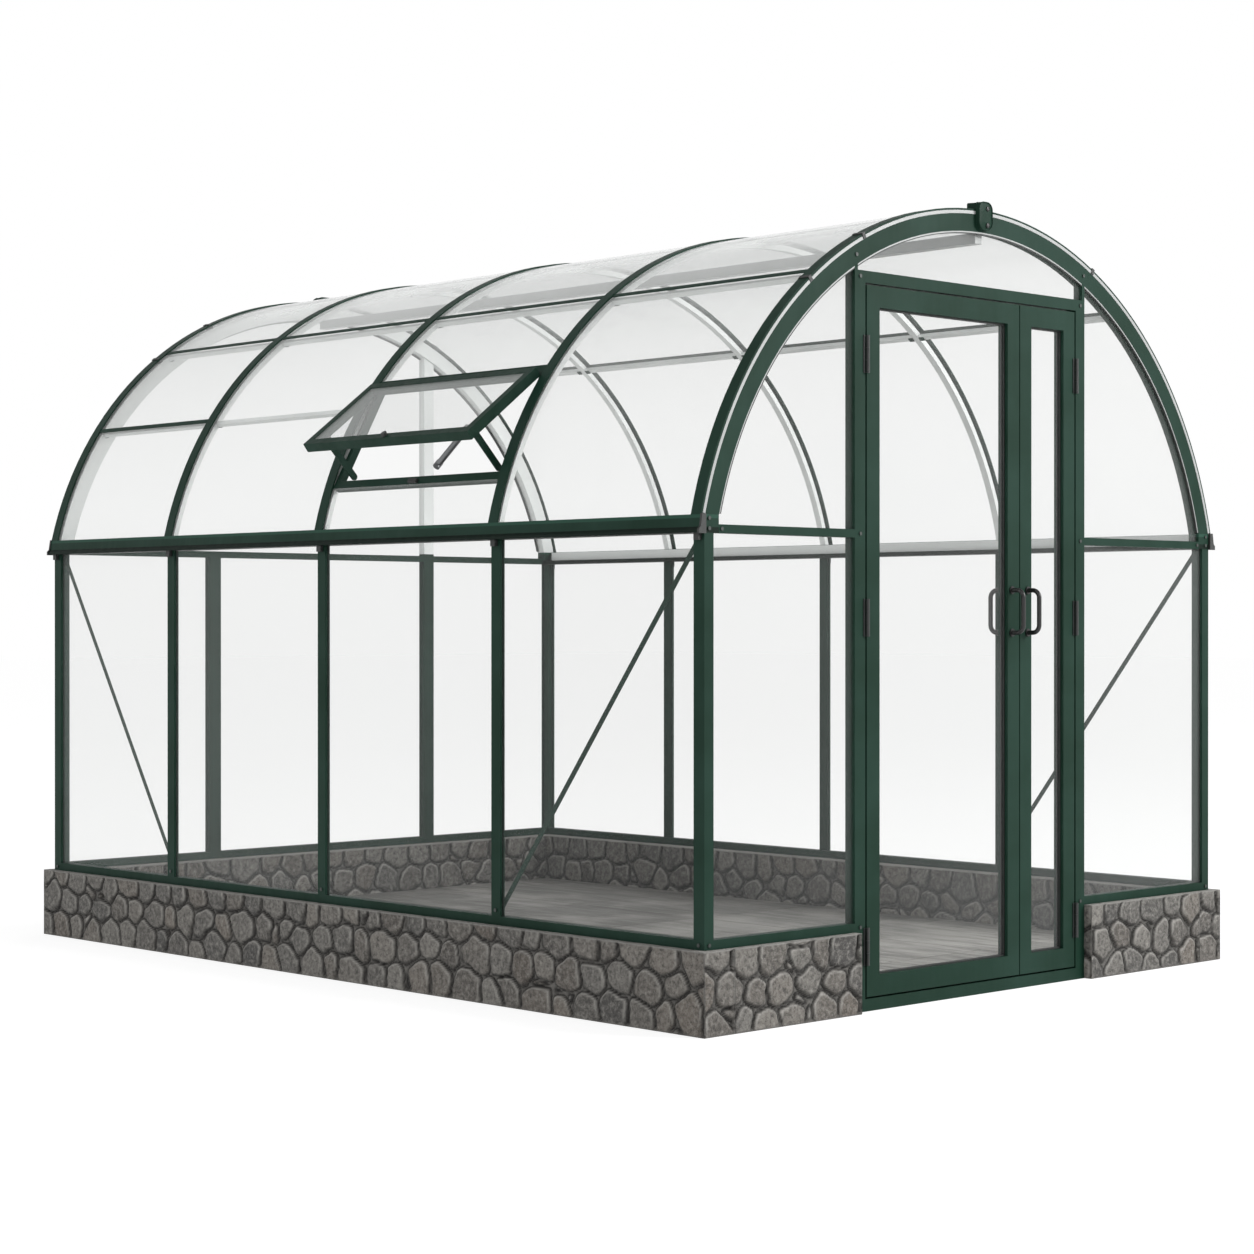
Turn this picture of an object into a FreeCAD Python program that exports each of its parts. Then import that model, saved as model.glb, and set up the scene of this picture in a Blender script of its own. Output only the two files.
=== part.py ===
"""Walk-in greenhouse with a barrel roof, standing on a low stone plinth.

Millimetres, +Z up.  The origin is the centre of the footprint, at ground level.
X runs across the gables, Y along the house; the doors are in the gable at -Y and
the roof vent is on the -X slope.
"""
import FreeCAD, Part
import math
import os
import re

import Sketcher
from FreeCAD import Placement, Rotation, Vector

# ---------------------------------------------------------------- driving sizes
SIZES = {
    # whole house
    "frame_width": 2208,
    "bay_pitch": 778,
    "rear_bay_pitch": 662,
    # plinth and floor
    "plinth_rim": 26,
    "plinth_height": 214,
    "plinth_wall": 110,
    "step_gap": 3,
    "floor_thickness": 50,
    # posts and rails
    "corner_face": 38,
    "corner_depth": 33,
    "post_face": 36,
    "post_depth": 17,
    "gable_post_face": 45,
    "gable_depth": 30,
    "rear_post_offset": 480,
    "upper_post_face": 12,
    "sill_height": 24,
    "sill_depth": 30,
    "gable_rail_height": 22,
    # eaves and arches
    "eave_bottom": 1261,
    "eave_height": 46,
    "eave_inner": 52,
    "eave_ledge": 22,
    "eave_flange": 14,
    "eave_nose": 12,
    "eave_toe": 24,
    "eave_lip": 7,
    "eave_slope": 5,
    "end_cap_thickness": 7,
    "end_cap_lip": 2,
    "arch_drop": 270,
    "rib_set_in": 3,
    "rib_depth": 48,
    "rib_face": 36,
    "inner_rib_depth": 16,
    "inner_rib_face": 24,
    "cap_thickness": 5,
    "ridge_cap_width": 24,
    "ridge_cap_height": 14,
    "ridge_width": 30,
    "ridge_depth": 30,
    "bracket_thickness": 14,
    "bracket_width": 62,
    "bracket_height": 80,
    "bracket_rise": 27,
    "bracket_round": 24,
    "purlin_size": 14,
    "purlin_drop": 1,
    "purlin_cap": 3,
    "upper_purlin_angle": 36.5,
    "lower_purlin_angle": 56,
    "brace_rise": 22,
    "brace_gap": 4,
    "brace_thickness": 4,
    # panes
    "wall_pane": 6,
    "roof_pane": 10,
    "pane_set_back": 8,
    "groove_depth": 9,
    "pane_bite": 8,
    "groove_play": 0.3,
    "pane_joint": 3,
    # doors
    "door_shift": -32,
    "jamb_face": 42,
    "jamb_depth": 34,
    "head_height": 32,
    "threshold_height": 33,
    "wide_leaf": 654,
    "narrow_leaf": 254,
    "leaf_height": 1897,
    "leaf_thickness": 34,
    "leaf_side_gap": 6,
    "leaf_end_gap": 5,
    "meeting_gap": 4,
    "stile_face": 52,
    "leaf_rail_face": 57,
    "door_pane": 5,
    # hinges and handles
    "hinge_height": 100,
    "hinge_plate": 2.5,
    "hinge_plate_width": 12,
    "knuckle_radius": 5.5,
    "pin_radius": 3,
    "pin_play": 0.05,
    "knuckle_gap": 0.5,
    "hinge_stand_off": 0.5,
    "hinge_inset": 135,
    "middle_hinge_rise": 62,
    "handle_height": 133,
    "handle_reach": 48,
    "handle_radius": 6.5,
    "handle_bend": 22,
    "handle_level": 1067,
    "handle_inset": 34,
    "rosette_radius": 11,
    "rosette_thickness": 4,
    # roof vent
    "vent_top_angle": 53,
    "vent_foot_angle": 69.4,
    "vent_open_angle": 24,
    "vent_bar": 24,
    "vent_side_bar": 14,
    "vent_bar_set_in": 8,
    "vent_hole_play": 0.3,
    "vent_frame_proud": 1,
    "sash_set_in": 8,
    "sash_length": 322,
    "sash_rail": 24,
    "sash_depth": 28,
    "sash_side_gap": 4,
    "vent_pane": 5,
    "vent_pane_inset": 2,
    "vent_hinge_length": 60,
    "vent_hinge_inset": 90,
    "vent_hinge_plate": 2,
    "vent_tab_gap": 1,
    "vent_knuckle": 5,
    "vent_pin": 2.5,
    "stay_width": 20,
    "stay_thickness": 6,
    "stay_length": 140,
    "stay_angle": 84,
    "stay_pin": 3,
    "stay_lug": 5,
    "stay_depth": 8,
    "stay_play": 0.3,
    "stay_washer": 2,
    "strut_lug": 6,
    "strut_pin_end": 1,
    "rear_stay_inset": 40,
    "strut_radius": 9,
    "strut_length": 250,
    "strut_bow_radius": 443,
    "strut_angle": 28,
    "strut_tilt": 7.5,
    "strut_inset": 34,
    "strut_eye": 1.5,
    "knob_radius": 9,
    "knob_height": 10,
    "stop_knob_inset": 112,
    "catch_inset": 11,
    # fasteners and clips
    "bolt_radius": 5,
    "bolt_head": 3,
    "bolt_edge": 5,
    "bolt_fall": 9,
    "bolt_rise": 16,
    "clip_length": 18,
    "clip_depth": 12,
    "purlin_clip": 3,
    # cutting tools run this far past the faces they cut
    "tool_overrun": 2,
    "tool_reach": 200,
}

doc = FreeCAD.newDocument("arched_greenhouse")
sheet = doc.addObject("Spreadsheet::Sheet", "Sizes")
for row, (alias, amount) in enumerate(SIZES.items(), start=1):
    sheet.set(f"A{row}", alias)
    sheet.set(f"B{row}", str(amount))
    sheet.setAlias(f"B{row}", alias)
doc.recompute()

NODES = []
WORD = re.compile(r"\b[a-z]+(?:_[a-z]+)+\b")

# ------------------------------------------- sizes worked out from the driving ones
HALF_WIDTH = "(frame_width / 2)"
HALF_LENGTH = "((3 * bay_pitch + rear_bay_pitch + rib_face) / 2)"
PLINTH_X = f"({HALF_WIDTH} + plinth_rim)"
PLINTH_Y = f"({HALF_LENGTH} + plinth_rim)"
SILL_TOP = "(plinth_height + sill_height)"
EAVE_TOP = "(eave_bottom + eave_height)"
ARCH_Z = f"({EAVE_TOP} - arch_drop)"
RIB_OUTER = f"sqrt(({HALF_WIDTH} - rib_set_in) ^ 2 + arch_drop ^ 2)"
RIB_INNER = f"({RIB_OUTER} - rib_depth)"
PANE_OUTER = f"({RIB_OUTER} + roof_pane)"
CAP_OUTER = f"({PANE_OUTER} + cap_thickness)"
CROWN = f"({ARCH_Z} + {RIB_OUTER})"
DOOR_WIDTH = "(wide_leaf + narrow_leaf + meeting_gap + 2 * leaf_side_gap)"
OPENING_LEFT = f"(door_shift - {DOOR_WIDTH} / 2)"
OPENING_RIGHT = f"(door_shift + {DOOR_WIDTH} / 2)"
JAMB_LEFT = f"({OPENING_LEFT} - jamb_face)"
JAMB_RIGHT = f"({OPENING_RIGHT} + jamb_face)"
LEAF_BOTTOM = "(threshold_height + leaf_end_gap)"
HEAD_BOTTOM = f"({LEAF_BOTTOM} + leaf_height + leaf_end_gap)"
HEAD_TOP = f"({HEAD_BOTTOM} + head_height)"
RAIL_TOP = "(eave_bottom + gable_rail_height)"
RIB_Y = [f"({HALF_LENGTH} * -1 + rib_face / 2 + {bay} * bay_pitch)" for bay in range(4)]
RIB_Y.append(f"({HALF_LENGTH} - rib_face / 2)")
INNER_RIBS = (1, 2, 3)


def bind(thing, prop, text):
    """Drive one property from the sheet; every sheet word is looked up there."""
    thing.setExpression(prop, WORD.sub(lambda word: "Sizes." + word.group(0), str(text)))


def place(thing, at_x=0, at_y=0, at_z=0, turn=None, about=(0, 0, 1)):
    """Put a piece where the sheet says, turned about one axis."""
    if turn is not None:
        thing.Placement = Placement(Vector(), Rotation(Vector(*about), 1))
        bind(thing, "Placement.Rotation.Angle", turn)
    for axis, amount in zip("xyz", (at_x, at_y, at_z)):
        bind(thing, f"Placement.Base.{axis}", amount)
    return thing


def node(thing, label):
    """Give a finished sub-part its name and list it for writing."""
    thing.Label = label
    NODES.append(thing)
    return thing


def box(size_x, size_y, size_z, at_x=0, at_y=0, at_z=0):
    block = doc.addObject("Part::Box", "block")
    for prop, amount in zip(("Length", "Width", "Height"), (size_x, size_y, size_z)):
        bind(block, prop, amount)
    return place(block, at_x, at_y, at_z)


def span(low_x, high_x, low_y, high_y, low_z, high_z):
    """A block given by its six faces."""
    return box(f"({high_x}) - ({low_x})", f"({high_y}) - ({low_y})",
               f"({high_z}) - ({low_z})", low_x, low_y, low_z)


def rod(radius, length, at_x=0, at_y=0, at_z=0, turn=None, about=(0, 0, 1)):
    bar = doc.addObject("Part::Cylinder", "rod")
    bind(bar, "Radius", radius)
    bind(bar, "Height", length)
    return place(bar, at_x, at_y, at_z, turn, about)


def cut(base, tool):
    result = doc.addObject("Part::Cut", "cut")
    result.Base = base
    result.Tool = tool
    return result


def common(first, second):
    result = doc.addObject("Part::Common", "common")
    result.Base = first
    result.Tool = second
    return result


def fuse(*pieces):
    result = doc.addObject("Part::MultiFuse", "fuse")
    result.Shapes = list(pieces)
    result.Refine = True
    return result


def bundle(pieces):
    """Several shapes held together, so that they can be placed as one."""
    result = doc.addObject("Part::Compound", "bundle")
    result.Links = list(pieces)
    return result


def group(label, pieces):
    """Several separate solids that share one name."""
    return node(bundle(pieces), label)


def prism(plane, outline, length, reverse=False):
    """Body: a closed straight-sided outline on one origin plane, padded to a length."""
    body = doc.addObject("PartDesign::Body", "member")
    sketch = body.newObject("Sketcher::SketchObject", "section")
    face = [item for item in body.Origin.OriginFeatures if item.Role == plane][0]
    sketch.AttachmentSupport = (face, [""])
    sketch.MapMode = "FlatFace"
    count = len(outline)
    corners = [Vector(100 * math.cos(2 * math.pi * k / count),
                      100 * math.sin(2 * math.pi * k / count), 0) for k in range(count)]
    for k in range(count):
        sketch.addGeometry(Part.LineSegment(corners[k], corners[(k + 1) % count]), False)
    for k in range(count):
        sketch.addConstraint(Sketcher.Constraint("Coincident", k, 2, (k + 1) % count, 1))
    for k, point in enumerate(outline):
        for kind, amount in zip(("DistanceX", "DistanceY"), point):
            start = corners[k].x if kind == "DistanceX" else corners[k].y
            number = sketch.addConstraint(Sketcher.Constraint(kind, -1, 1, k, 1, start))
            bind(sketch, f"Constraints[{number}]", amount)
    pad = body.newObject("PartDesign::Pad", "pad")
    pad.Profile = sketch
    pad.Reversed = reverse
    bind(pad, "Length", length)
    body.Tip = pad
    return body


# -------------------------------------------------------------- plinth and floor
INNER_X = f"({PLINTH_X} - plinth_wall)"
INNER_Y = f"({PLINTH_Y} - plinth_wall)"


def make_plinth():
    node(span(f"-{PLINTH_X}", f"-{INNER_X}", f"-{PLINTH_Y}", PLINTH_Y, 0, "plinth_height"),
         "plinth_left")
    node(span(INNER_X, PLINTH_X, f"-{PLINTH_Y}", PLINTH_Y, 0, "plinth_height"),
         "plinth_right")
    node(span(f"-{INNER_X}", INNER_X, INNER_Y, PLINTH_Y, 0, "plinth_height"),
         "plinth_rear")
    group("plinth_front", [
        span(f"-{INNER_X}", JAMB_LEFT, f"-{PLINTH_Y}", f"-{INNER_Y}", 0, "plinth_height"),
        span(JAMB_RIGHT, INNER_X, f"-{PLINTH_Y}", f"-{INNER_Y}", 0, "plinth_height")])
    floor = span(f"-{INNER_X}", INNER_X, f"-{INNER_Y}", INNER_Y, 0, "floor_thickness")
    # The step stays behind the frame and the leaves, whichever is deeper.
    step_front = f"-{HALF_LENGTH} + max(jamb_depth; leaf_thickness) + step_gap"
    step = span(JAMB_LEFT, JAMB_RIGHT, step_front, f"-{INNER_Y}", 0, "floor_thickness")
    node(fuse(floor, step), "floor_slab")


# ------------------------------------------------------------------ posts and rails
GROOVE_NEAR = "(pane_set_back - groove_play)"
GROOVE_FAR = "(pane_set_back + wall_pane + groove_play)"


def side_post(at_x, at_y, turned):
    """Glazing bar of the long wall: a groove down each side takes the panes."""
    half = "(post_face / 2)"
    floor_of_groove = "(post_face / 2 - groove_depth)"
    outline = [
        ("0", f"-{half}"), (GROOVE_NEAR, f"-{half}"), (GROOVE_NEAR, f"-{floor_of_groove}"),
        (GROOVE_FAR, f"-{floor_of_groove}"), (GROOVE_FAR, f"-{half}"),
        ("post_depth", f"-{half}"), ("post_depth", half), (GROOVE_FAR, half),
        (GROOVE_FAR, floor_of_groove), (GROOVE_NEAR, floor_of_groove),
        (GROOVE_NEAR, half), ("0", half)]
    post = prism("XY_Plane", outline, f"eave_bottom - {SILL_TOP}")
    return place(post, at_x, at_y, SILL_TOP, turned)


def corner_post(side, end):
    """Corner post: one groove faces the long wall, the other faces the gable."""
    outline = [
        ("0", "0"), ("corner_depth", "0"),
        ("corner_depth", GROOVE_NEAR), ("corner_depth - groove_depth", GROOVE_NEAR),
        ("corner_depth - groove_depth", GROOVE_FAR), ("corner_depth", GROOVE_FAR),
        ("corner_depth", "corner_face"), (GROOVE_FAR, "corner_face"),
        (GROOVE_FAR, "corner_face - groove_depth"),
        (GROOVE_NEAR, "corner_face - groove_depth"),
        (GROOVE_NEAR, "corner_face"), ("0", "corner_face")]
    signed = [(f"{-side} * ({a})", f"{-end} * ({b})") for a, b in outline]
    if side * end < 0:
        signed.reverse()
    post = prism("XY_Plane", signed, "eave_bottom - plinth_height")
    return place(post, f"{side} * {HALF_WIDTH}", f"{end} * {HALF_LENGTH}", "plinth_height")


def make_posts():
    corners = [corner_post(side, end) for side in (-1, 1) for end in (-1, 1)]
    group("corner_posts", corners)
    left = [side_post(f"-{HALF_WIDTH}", RIB_Y[k], 0) for k in (1, 2, 3)]
    right = [side_post(HALF_WIDTH, RIB_Y[k], 180) for k in (1, 2, 3)]
    group("side_posts_left", left)
    group("side_posts_right", right)


def make_sills():
    """Rails on the plinth that the posts and panes stand on."""
    run = f"({HALF_LENGTH} - corner_face)"
    level = ("plinth_height", SILL_TOP)
    group("side_sills", [
        span(f"-{HALF_WIDTH}", f"-{HALF_WIDTH} + sill_depth", f"-{run}", run, *level),
        span(f"{HALF_WIDTH} - sill_depth", HALF_WIDTH, f"-{run}", run, *level)])
    inner = f"({HALF_WIDTH} - corner_depth)"
    front = (f"-{HALF_LENGTH}", f"-{HALF_LENGTH} + sill_depth")
    rear = (f"{HALF_LENGTH} - sill_depth", HALF_LENGTH)
    group("gable_sills", [
        span(f"-{inner}", JAMB_LEFT, *front, *level),
        span(JAMB_RIGHT, inner, *front, *level),
        span(f"-{inner}", inner, *rear, *level)])


# ------------------------------------------------------------------------- gables
INSIDE_EAVE = f"({HALF_WIDTH} - eave_inner)"
POST_IN = "(gable_post_face / 2)"


def drum(radius, low_y, high_y):
    """Solid cylinder about the arch axis, from one Y to another."""
    return rod(radius, f"({high_y}) - ({low_y})", 0, high_y, ARCH_Z, 90, (1, 0, 0))


def under_arch(piece, low_y, high_y):
    """Trim a gable piece to the inner curve of the end rib."""
    return common(piece, drum(RIB_INNER, f"{low_y} - tool_overrun", f"{high_y} + tool_overrun"))


def make_gable_frame():
    front = (f"-{HALF_LENGTH}", f"-{HALF_LENGTH} + gable_depth")
    rear = (f"{HALF_LENGTH} - gable_depth", HALF_LENGTH)
    level = ("eave_bottom", RAIL_TOP)
    edge = f"(rear_post_offset - {POST_IN})"
    far = f"(rear_post_offset + {POST_IN})"
    group("gable_rails", [
        span(f"-{INSIDE_EAVE}", JAMB_LEFT, *front, *level),
        span(JAMB_RIGHT, INSIDE_EAVE, *front, *level),
        span(f"-{INSIDE_EAVE}", edge, *rear, *level),
        span(far, INSIDE_EAVE, *rear, *level)])
    tall = span(edge, far, *rear, SILL_TOP, CROWN)
    posts = [span(f"-{far}", f"-{edge}", *rear, SILL_TOP, "eave_bottom"),
             under_arch(tall, *rear)]
    for low_x, high_x in ((JAMB_LEFT, f"{JAMB_LEFT} + upper_post_face"),
                          (f"{JAMB_RIGHT} - upper_post_face", JAMB_RIGHT)):
        block = span(low_x, high_x, *front, HEAD_TOP, CROWN)
        posts.append(under_arch(block, *front))
    group("gable_posts", posts)


def gable_pane(low_x, high_x, end, low_z, high_z, curved=False):
    near = f"({HALF_LENGTH} - pane_set_back)"
    back = f"({near} - wall_pane)"
    ends = (f"-{near}", f"-{back}") if end < 0 else (back, near)
    block = span(low_x, high_x, *ends, low_z, high_z)
    return under_arch(block, *ends) if curved else block


def make_gable_panes():
    corner = f"({HALF_WIDTH} - corner_depth + pane_bite)"
    group("gable_panes_front", [
        gable_pane(f"-{corner}", JAMB_LEFT, -1, SILL_TOP, "eave_bottom"),
        gable_pane(JAMB_RIGHT, corner, -1, SILL_TOP, "eave_bottom"),
        gable_pane(f"-{INSIDE_EAVE}", JAMB_LEFT, -1, RAIL_TOP, CROWN, True),
        gable_pane(JAMB_RIGHT, INSIDE_EAVE, -1, RAIL_TOP, CROWN, True),
        gable_pane(f"{JAMB_LEFT} + upper_post_face", f"{JAMB_RIGHT} - upper_post_face",
                   -1, HEAD_TOP, CROWN, True)])
    edge = f"(rear_post_offset - {POST_IN})"
    far = f"(rear_post_offset + {POST_IN})"
    group("gable_panes_rear", [
        gable_pane(f"-{corner}", f"-{far}", 1, SILL_TOP, "eave_bottom"),
        gable_pane(f"-{edge}", edge, 1, SILL_TOP, "eave_bottom"),
        gable_pane(far, corner, 1, SILL_TOP, "eave_bottom"),
        gable_pane(f"-{INSIDE_EAVE}", edge, 1, RAIL_TOP, CROWN, True),
        gable_pane(far, INSIDE_EAVE, 1, RAIL_TOP, CROWN, True)])


def make_side_panes():
    for side, label in ((-1, "side_panes_left"), (1, "side_panes_right")):
        outer = f"({HALF_WIDTH} - pane_set_back)"
        inner = f"({outer} - wall_pane)"
        ends_x = (f"-{outer}", f"-{inner}") if side < 0 else (inner, outer)
        panes = []
        for bay in range(4):
            low = f"{RIB_Y[bay]} + post_face / 2 - pane_bite"
            high = f"{RIB_Y[bay + 1]} - post_face / 2 + pane_bite"
            if bay == 0:
                low = f"-{HALF_LENGTH} + corner_face - pane_bite"
            if bay == 3:
                high = f"{HALF_LENGTH} - corner_face + pane_bite"
            panes.append(span(*ends_x, low, high, SILL_TOP, "eave_bottom"))
        group(label, panes)


# -------------------------------------------------------------------------- eaves
def eave_outline(grow):
    """Gutter section, 0 at the wall face and the post tops, inside towards +X."""
    inside = "eave_inner" if grow == "0" else "0"
    return [
        (inside, f"-{grow}"), (f"-eave_toe - {grow}", f"-{grow}"),
        (f"-eave_toe - {grow}", f"eave_lip + {grow}"),
        (f"-eave_nose - eave_slope - {grow}", f"2 * eave_lip + {grow}"),
        (f"-eave_nose - {grow}", f"eave_height + {grow}"), (inside, f"eave_height + {grow}")]


def make_eaves():
    for side, label in ((-1, "eave_rail_left"), (1, "eave_rail_right")):
        rail = prism("XZ_Plane", eave_outline("0"), f"2 * {HALF_LENGTH}")
        place(rail, f"{side} * {HALF_WIDTH}", f"{-side} * {HALF_LENGTH}",
              "eave_bottom", 0 if side < 0 else 180)
        near = f"({HALF_WIDTH} - eave_ledge)"
        far = f"({HALF_WIDTH} - 2 * eave_inner)"
        across = (f"-{near}", f"-{far}") if side < 0 else (far, near)
        run = f"({HALF_LENGTH} - rib_face)"
        recess = span(*across, f"-{run}", run, "eave_bottom + eave_flange",
                      f"{EAVE_TOP} + eave_lip")
        node(cut(rail, recess), label)
    caps = []
    for side in (-1, 1):
        for end in (-1, 1):
            cap = prism("XZ_Plane", eave_outline("end_cap_lip"), "end_cap_thickness",
                        reverse=(end * side < 0))
            caps.append(place(cap, f"{side} * {HALF_WIDTH}", f"{end} * {HALF_LENGTH}",
                              "eave_bottom", 0 if side < 0 else 180))
    group("eave_end_caps", caps)


# ------------------------------------------------------------------------- arches
def shell(outer, inner, low_y, high_y):
    """Curved skin about the arch axis."""
    hollow = drum(inner, f"{low_y} - tool_overrun", f"{high_y} + tool_overrun")
    return cut(drum(outer, low_y, high_y), hollow)


def slope(side, low_y, high_y, gap="0"):
    """Block that keeps one slope of a shell, above the eave rails."""
    reach = f"({PLINTH_X} + tool_reach)"
    ends = (f"-{reach}", f"-({gap})") if side < 0 else (f"{gap}", reach)
    return span(*ends, f"{low_y} - tool_overrun", f"{high_y} + tool_overrun", EAVE_TOP,
                f"{CROWN} + tool_reach")


def half_rib(side, row):
    """Half arch: deep at the gables, a slim bar between the bays."""
    face, inner = "rib_face", RIB_INNER
    if row in INNER_RIBS:
        face, inner = "inner_rib_face", f"({RIB_OUTER} - inner_rib_depth)"
    low_y = f"{RIB_Y[row]} - {face} / 2"
    high_y = f"{RIB_Y[row]} + {face} / 2"
    return common(shell(RIB_OUTER, inner, low_y, high_y), slope(side, low_y, high_y))


def make_ribs():
    for label, rows in (("rib_front", (0,)), ("rib_rear", (4,)), ("ribs_middle", INNER_RIBS)):
        group(label, [half_rib(side, row) for row in rows for side in (-1, 1)])
    strips = []
    for k in range(5):
        low_y = f"{RIB_Y[k]} - rib_face / 2"
        high_y = f"{RIB_Y[k]} + rib_face / 2"
        for side in (-1, 1):
            strips.append(common(shell(CAP_OUTER, PANE_OUTER, low_y, high_y),
                                 slope(side, low_y, high_y, "ridge_cap_width / 2")))
    group("rib_cap_strips", strips)


def roof_pane(side, low_y, high_y):
    """Curved pane of one bay on one slope, from the eave rail to the ridge."""
    return common(shell(PANE_OUTER, RIB_OUTER, low_y, high_y),
                  slope(side, low_y, high_y, "pane_joint / 2"))


def vent_hole():
    """Block that clears the pane from around the vent's frame."""
    block = span(f"{VENT_HEAD} - vent_hole_play", f"{VENT_SILL} + vent_bar + vent_hole_play",
                 f"{BAY_LOW} - vent_hole_play", f"{BAY_HIGH} + vent_hole_play",
                 "-2 * vent_bar", "3 * vent_bar")
    return place(bundle([block]), HINGE_X, 0, HINGE_Z, FRAME_TURN, (0, 1, 0))


def make_roof_panes():
    for side, label in ((-1, "roof_panes_left"), (1, "roof_panes_right")):
        panes = []
        for bay in range(4):
            low_y = f"{RIB_Y[bay]} + pane_joint / 2"
            high_y = f"{RIB_Y[bay + 1]} - pane_joint / 2"
            if bay == 0:
                low_y = f"-{HALF_LENGTH}"
            if bay == 3:
                high_y = HALF_LENGTH
            pane = roof_pane(side, low_y, high_y)
            if side < 0 and bay == VENT_BAY:
                pane = cut(pane, vent_hole())
            panes.append(pane)
        group(label, panes)


def make_ridge():
    pane_back = f"({HALF_LENGTH} - pane_set_back - wall_pane - groove_play)"
    underside = f"({ARCH_Z} + {RIB_INNER})"
    node(span("-ridge_width / 2", "ridge_width / 2", f"-{pane_back}", pane_back,
              f"{underside} - ridge_depth", f"{underside} - groove_play / 2"), "ridge_beam")
    top = f"({CROWN} + roof_pane)"
    node(span("-ridge_cap_width / 2", "ridge_cap_width / 2", f"-{HALF_LENGTH}", HALF_LENGTH,
              top, f"{top} + ridge_cap_height"), "ridge_capping")
    brackets = []
    for end in (-1, 1):
        low_z = f"({top} + bracket_rise - bracket_height)"
        shoulder = f"({low_z} + bracket_height - bracket_round)"
        near = f"(-{HALF_LENGTH} - bracket_thickness)" if end < 0 else HALF_LENGTH
        far = f"-{HALF_LENGTH}" if end < 0 else f"{HALF_LENGTH} + bracket_thickness"
        block = box("bracket_width", "bracket_thickness", "bracket_height - bracket_round",
                    "-bracket_width / 2", near, low_z)
        corners = [rod("bracket_round", "bracket_thickness",
                       f"{side} * (bracket_width / 2 - bracket_round)", far, shoulder, 90, (1, 0, 0))
                   for side in (-1, 1)]
        bridge = box("bracket_width - 2 * bracket_round", "bracket_thickness", "bracket_round",
                     "-bracket_width / 2 + bracket_round", near, shoulder)
        brackets.append(fuse(block, *corners, bridge))
    group("ridge_end_brackets", brackets)


PURLIN_TOP = f"({RIB_OUTER} - purlin_drop)"
PURLIN_FOOT = f"({PURLIN_TOP} - purlin_size)"


def radial_bar(side, angle, inner, depth, low_y, length):
    """Bar along the house, set square to the arch at an angle from the vertical."""
    turn = f"{side} * ({angle})"
    bar = box("purlin_size", length, depth)
    at_x = f"{inner} * sin({turn}) - purlin_size / 2 * cos({turn})"
    at_z = f"{ARCH_Z} + {inner} * cos({turn}) + purlin_size / 2 * sin({turn})"
    return place(bar, at_x, low_y, at_z, turn, (0, 1, 0))


def bay_ends(bay, gable_face, inner_face):
    """The clear run of one bay between two arches, each with its own face width."""
    near = gable_face if bay == 0 else inner_face
    far = gable_face if bay == 3 else inner_face
    return f"({RIB_Y[bay]} + {near} / 2)", f"({RIB_Y[bay + 1]} - {far} / 2)"


def make_purlins():
    upper, lower = "upper_purlin_angle", "lower_purlin_angle"
    left = [(upper, bay) for bay in range(4)] + [(lower, bay) for bay in (2, 3)]
    right = [(upper, bay) for bay in range(4)]
    clips = []
    caps = []
    for side, label, runs in ((-1, "purlins_left", left), (1, "purlins_right", right)):
        bars = []
        for angle, bay in runs:
            low, high = bay_ends(bay, "rib_face", "inner_rib_face")
            bars.append(radial_bar(side, angle, PURLIN_FOOT, "purlin_size", low,
                                   f"{high} - {low}"))
            for at_y in (low, f"{high} - clip_length"):
                clips.append(radial_bar(side, angle, f"({PURLIN_FOOT} - purlin_clip)",
                                        "purlin_clip", at_y, "clip_length"))
            if angle == upper or bay == 3:
                low, high = bay_ends(bay, "rib_face", "rib_face")
                caps.append(radial_bar(side, angle, PANE_OUTER, "purlin_cap", low,
                                       f"{high} - {low}"))
        group(label, bars)
    group("purlin_clips", clips)
    group("purlin_cap_strips", caps)


def make_braces():
    """Flat diagonals inside the long walls, corner post head to next post foot."""
    braces = []
    for side, end in ((-1, -1), (-1, 1), (1, -1)):
        face = f"({HALF_WIDTH} - post_depth)"
        head = f"{end} * ({HALF_LENGTH} - corner_face)"
        foot = RIB_Y[1] if end < 0 else RIB_Y[3]
        top = "(eave_bottom - brace_gap)"
        low = f"({SILL_TOP} + brace_gap)"
        outline = [(head, f"{top} - brace_rise"), (foot, low),
                   (foot, f"{low} + brace_rise"), (head, top)]
        if end > 0:
            outline.reverse()
        bar = prism("YZ_Plane", outline, "brace_thickness")
        braces.append(place(bar, f"-{face}" if side < 0 else f"{face} - brace_thickness"))
    group("wind_braces", braces)


# ---------------------------------------------------------------- door frame
def make_door_frame():
    front = (f"-{HALF_LENGTH}", f"-{HALF_LENGTH} + jamb_depth")
    node(span(JAMB_LEFT, OPENING_LEFT, *front, 0, HEAD_BOTTOM), "door_jamb_left")
    node(span(OPENING_RIGHT, JAMB_RIGHT, *front, 0, HEAD_BOTTOM), "door_jamb_right")
    node(span(JAMB_LEFT, JAMB_RIGHT, *front, HEAD_BOTTOM, HEAD_TOP), "door_head")
    node(span(OPENING_LEFT, OPENING_RIGHT, *front, 0, "threshold_height"), "door_threshold")


# ----------------------------------------------------------------------- doors
LEAF_FACE = f"(-{HALF_LENGTH})"
WIDE_LEFT = f"({OPENING_LEFT} + leaf_side_gap)"
WIDE_RIGHT = f"({WIDE_LEFT} + wide_leaf)"
NARROW_RIGHT = f"({OPENING_RIGHT} - leaf_side_gap)"
NARROW_LEFT = f"({NARROW_RIGHT} - narrow_leaf)"


LEAF_GROOVE_NEAR = "(leaf_thickness / 2 - door_pane / 2 - groove_play)"
LEAF_GROOVE_FAR = "(leaf_thickness / 2 + door_pane / 2 + groove_play)"


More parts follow.
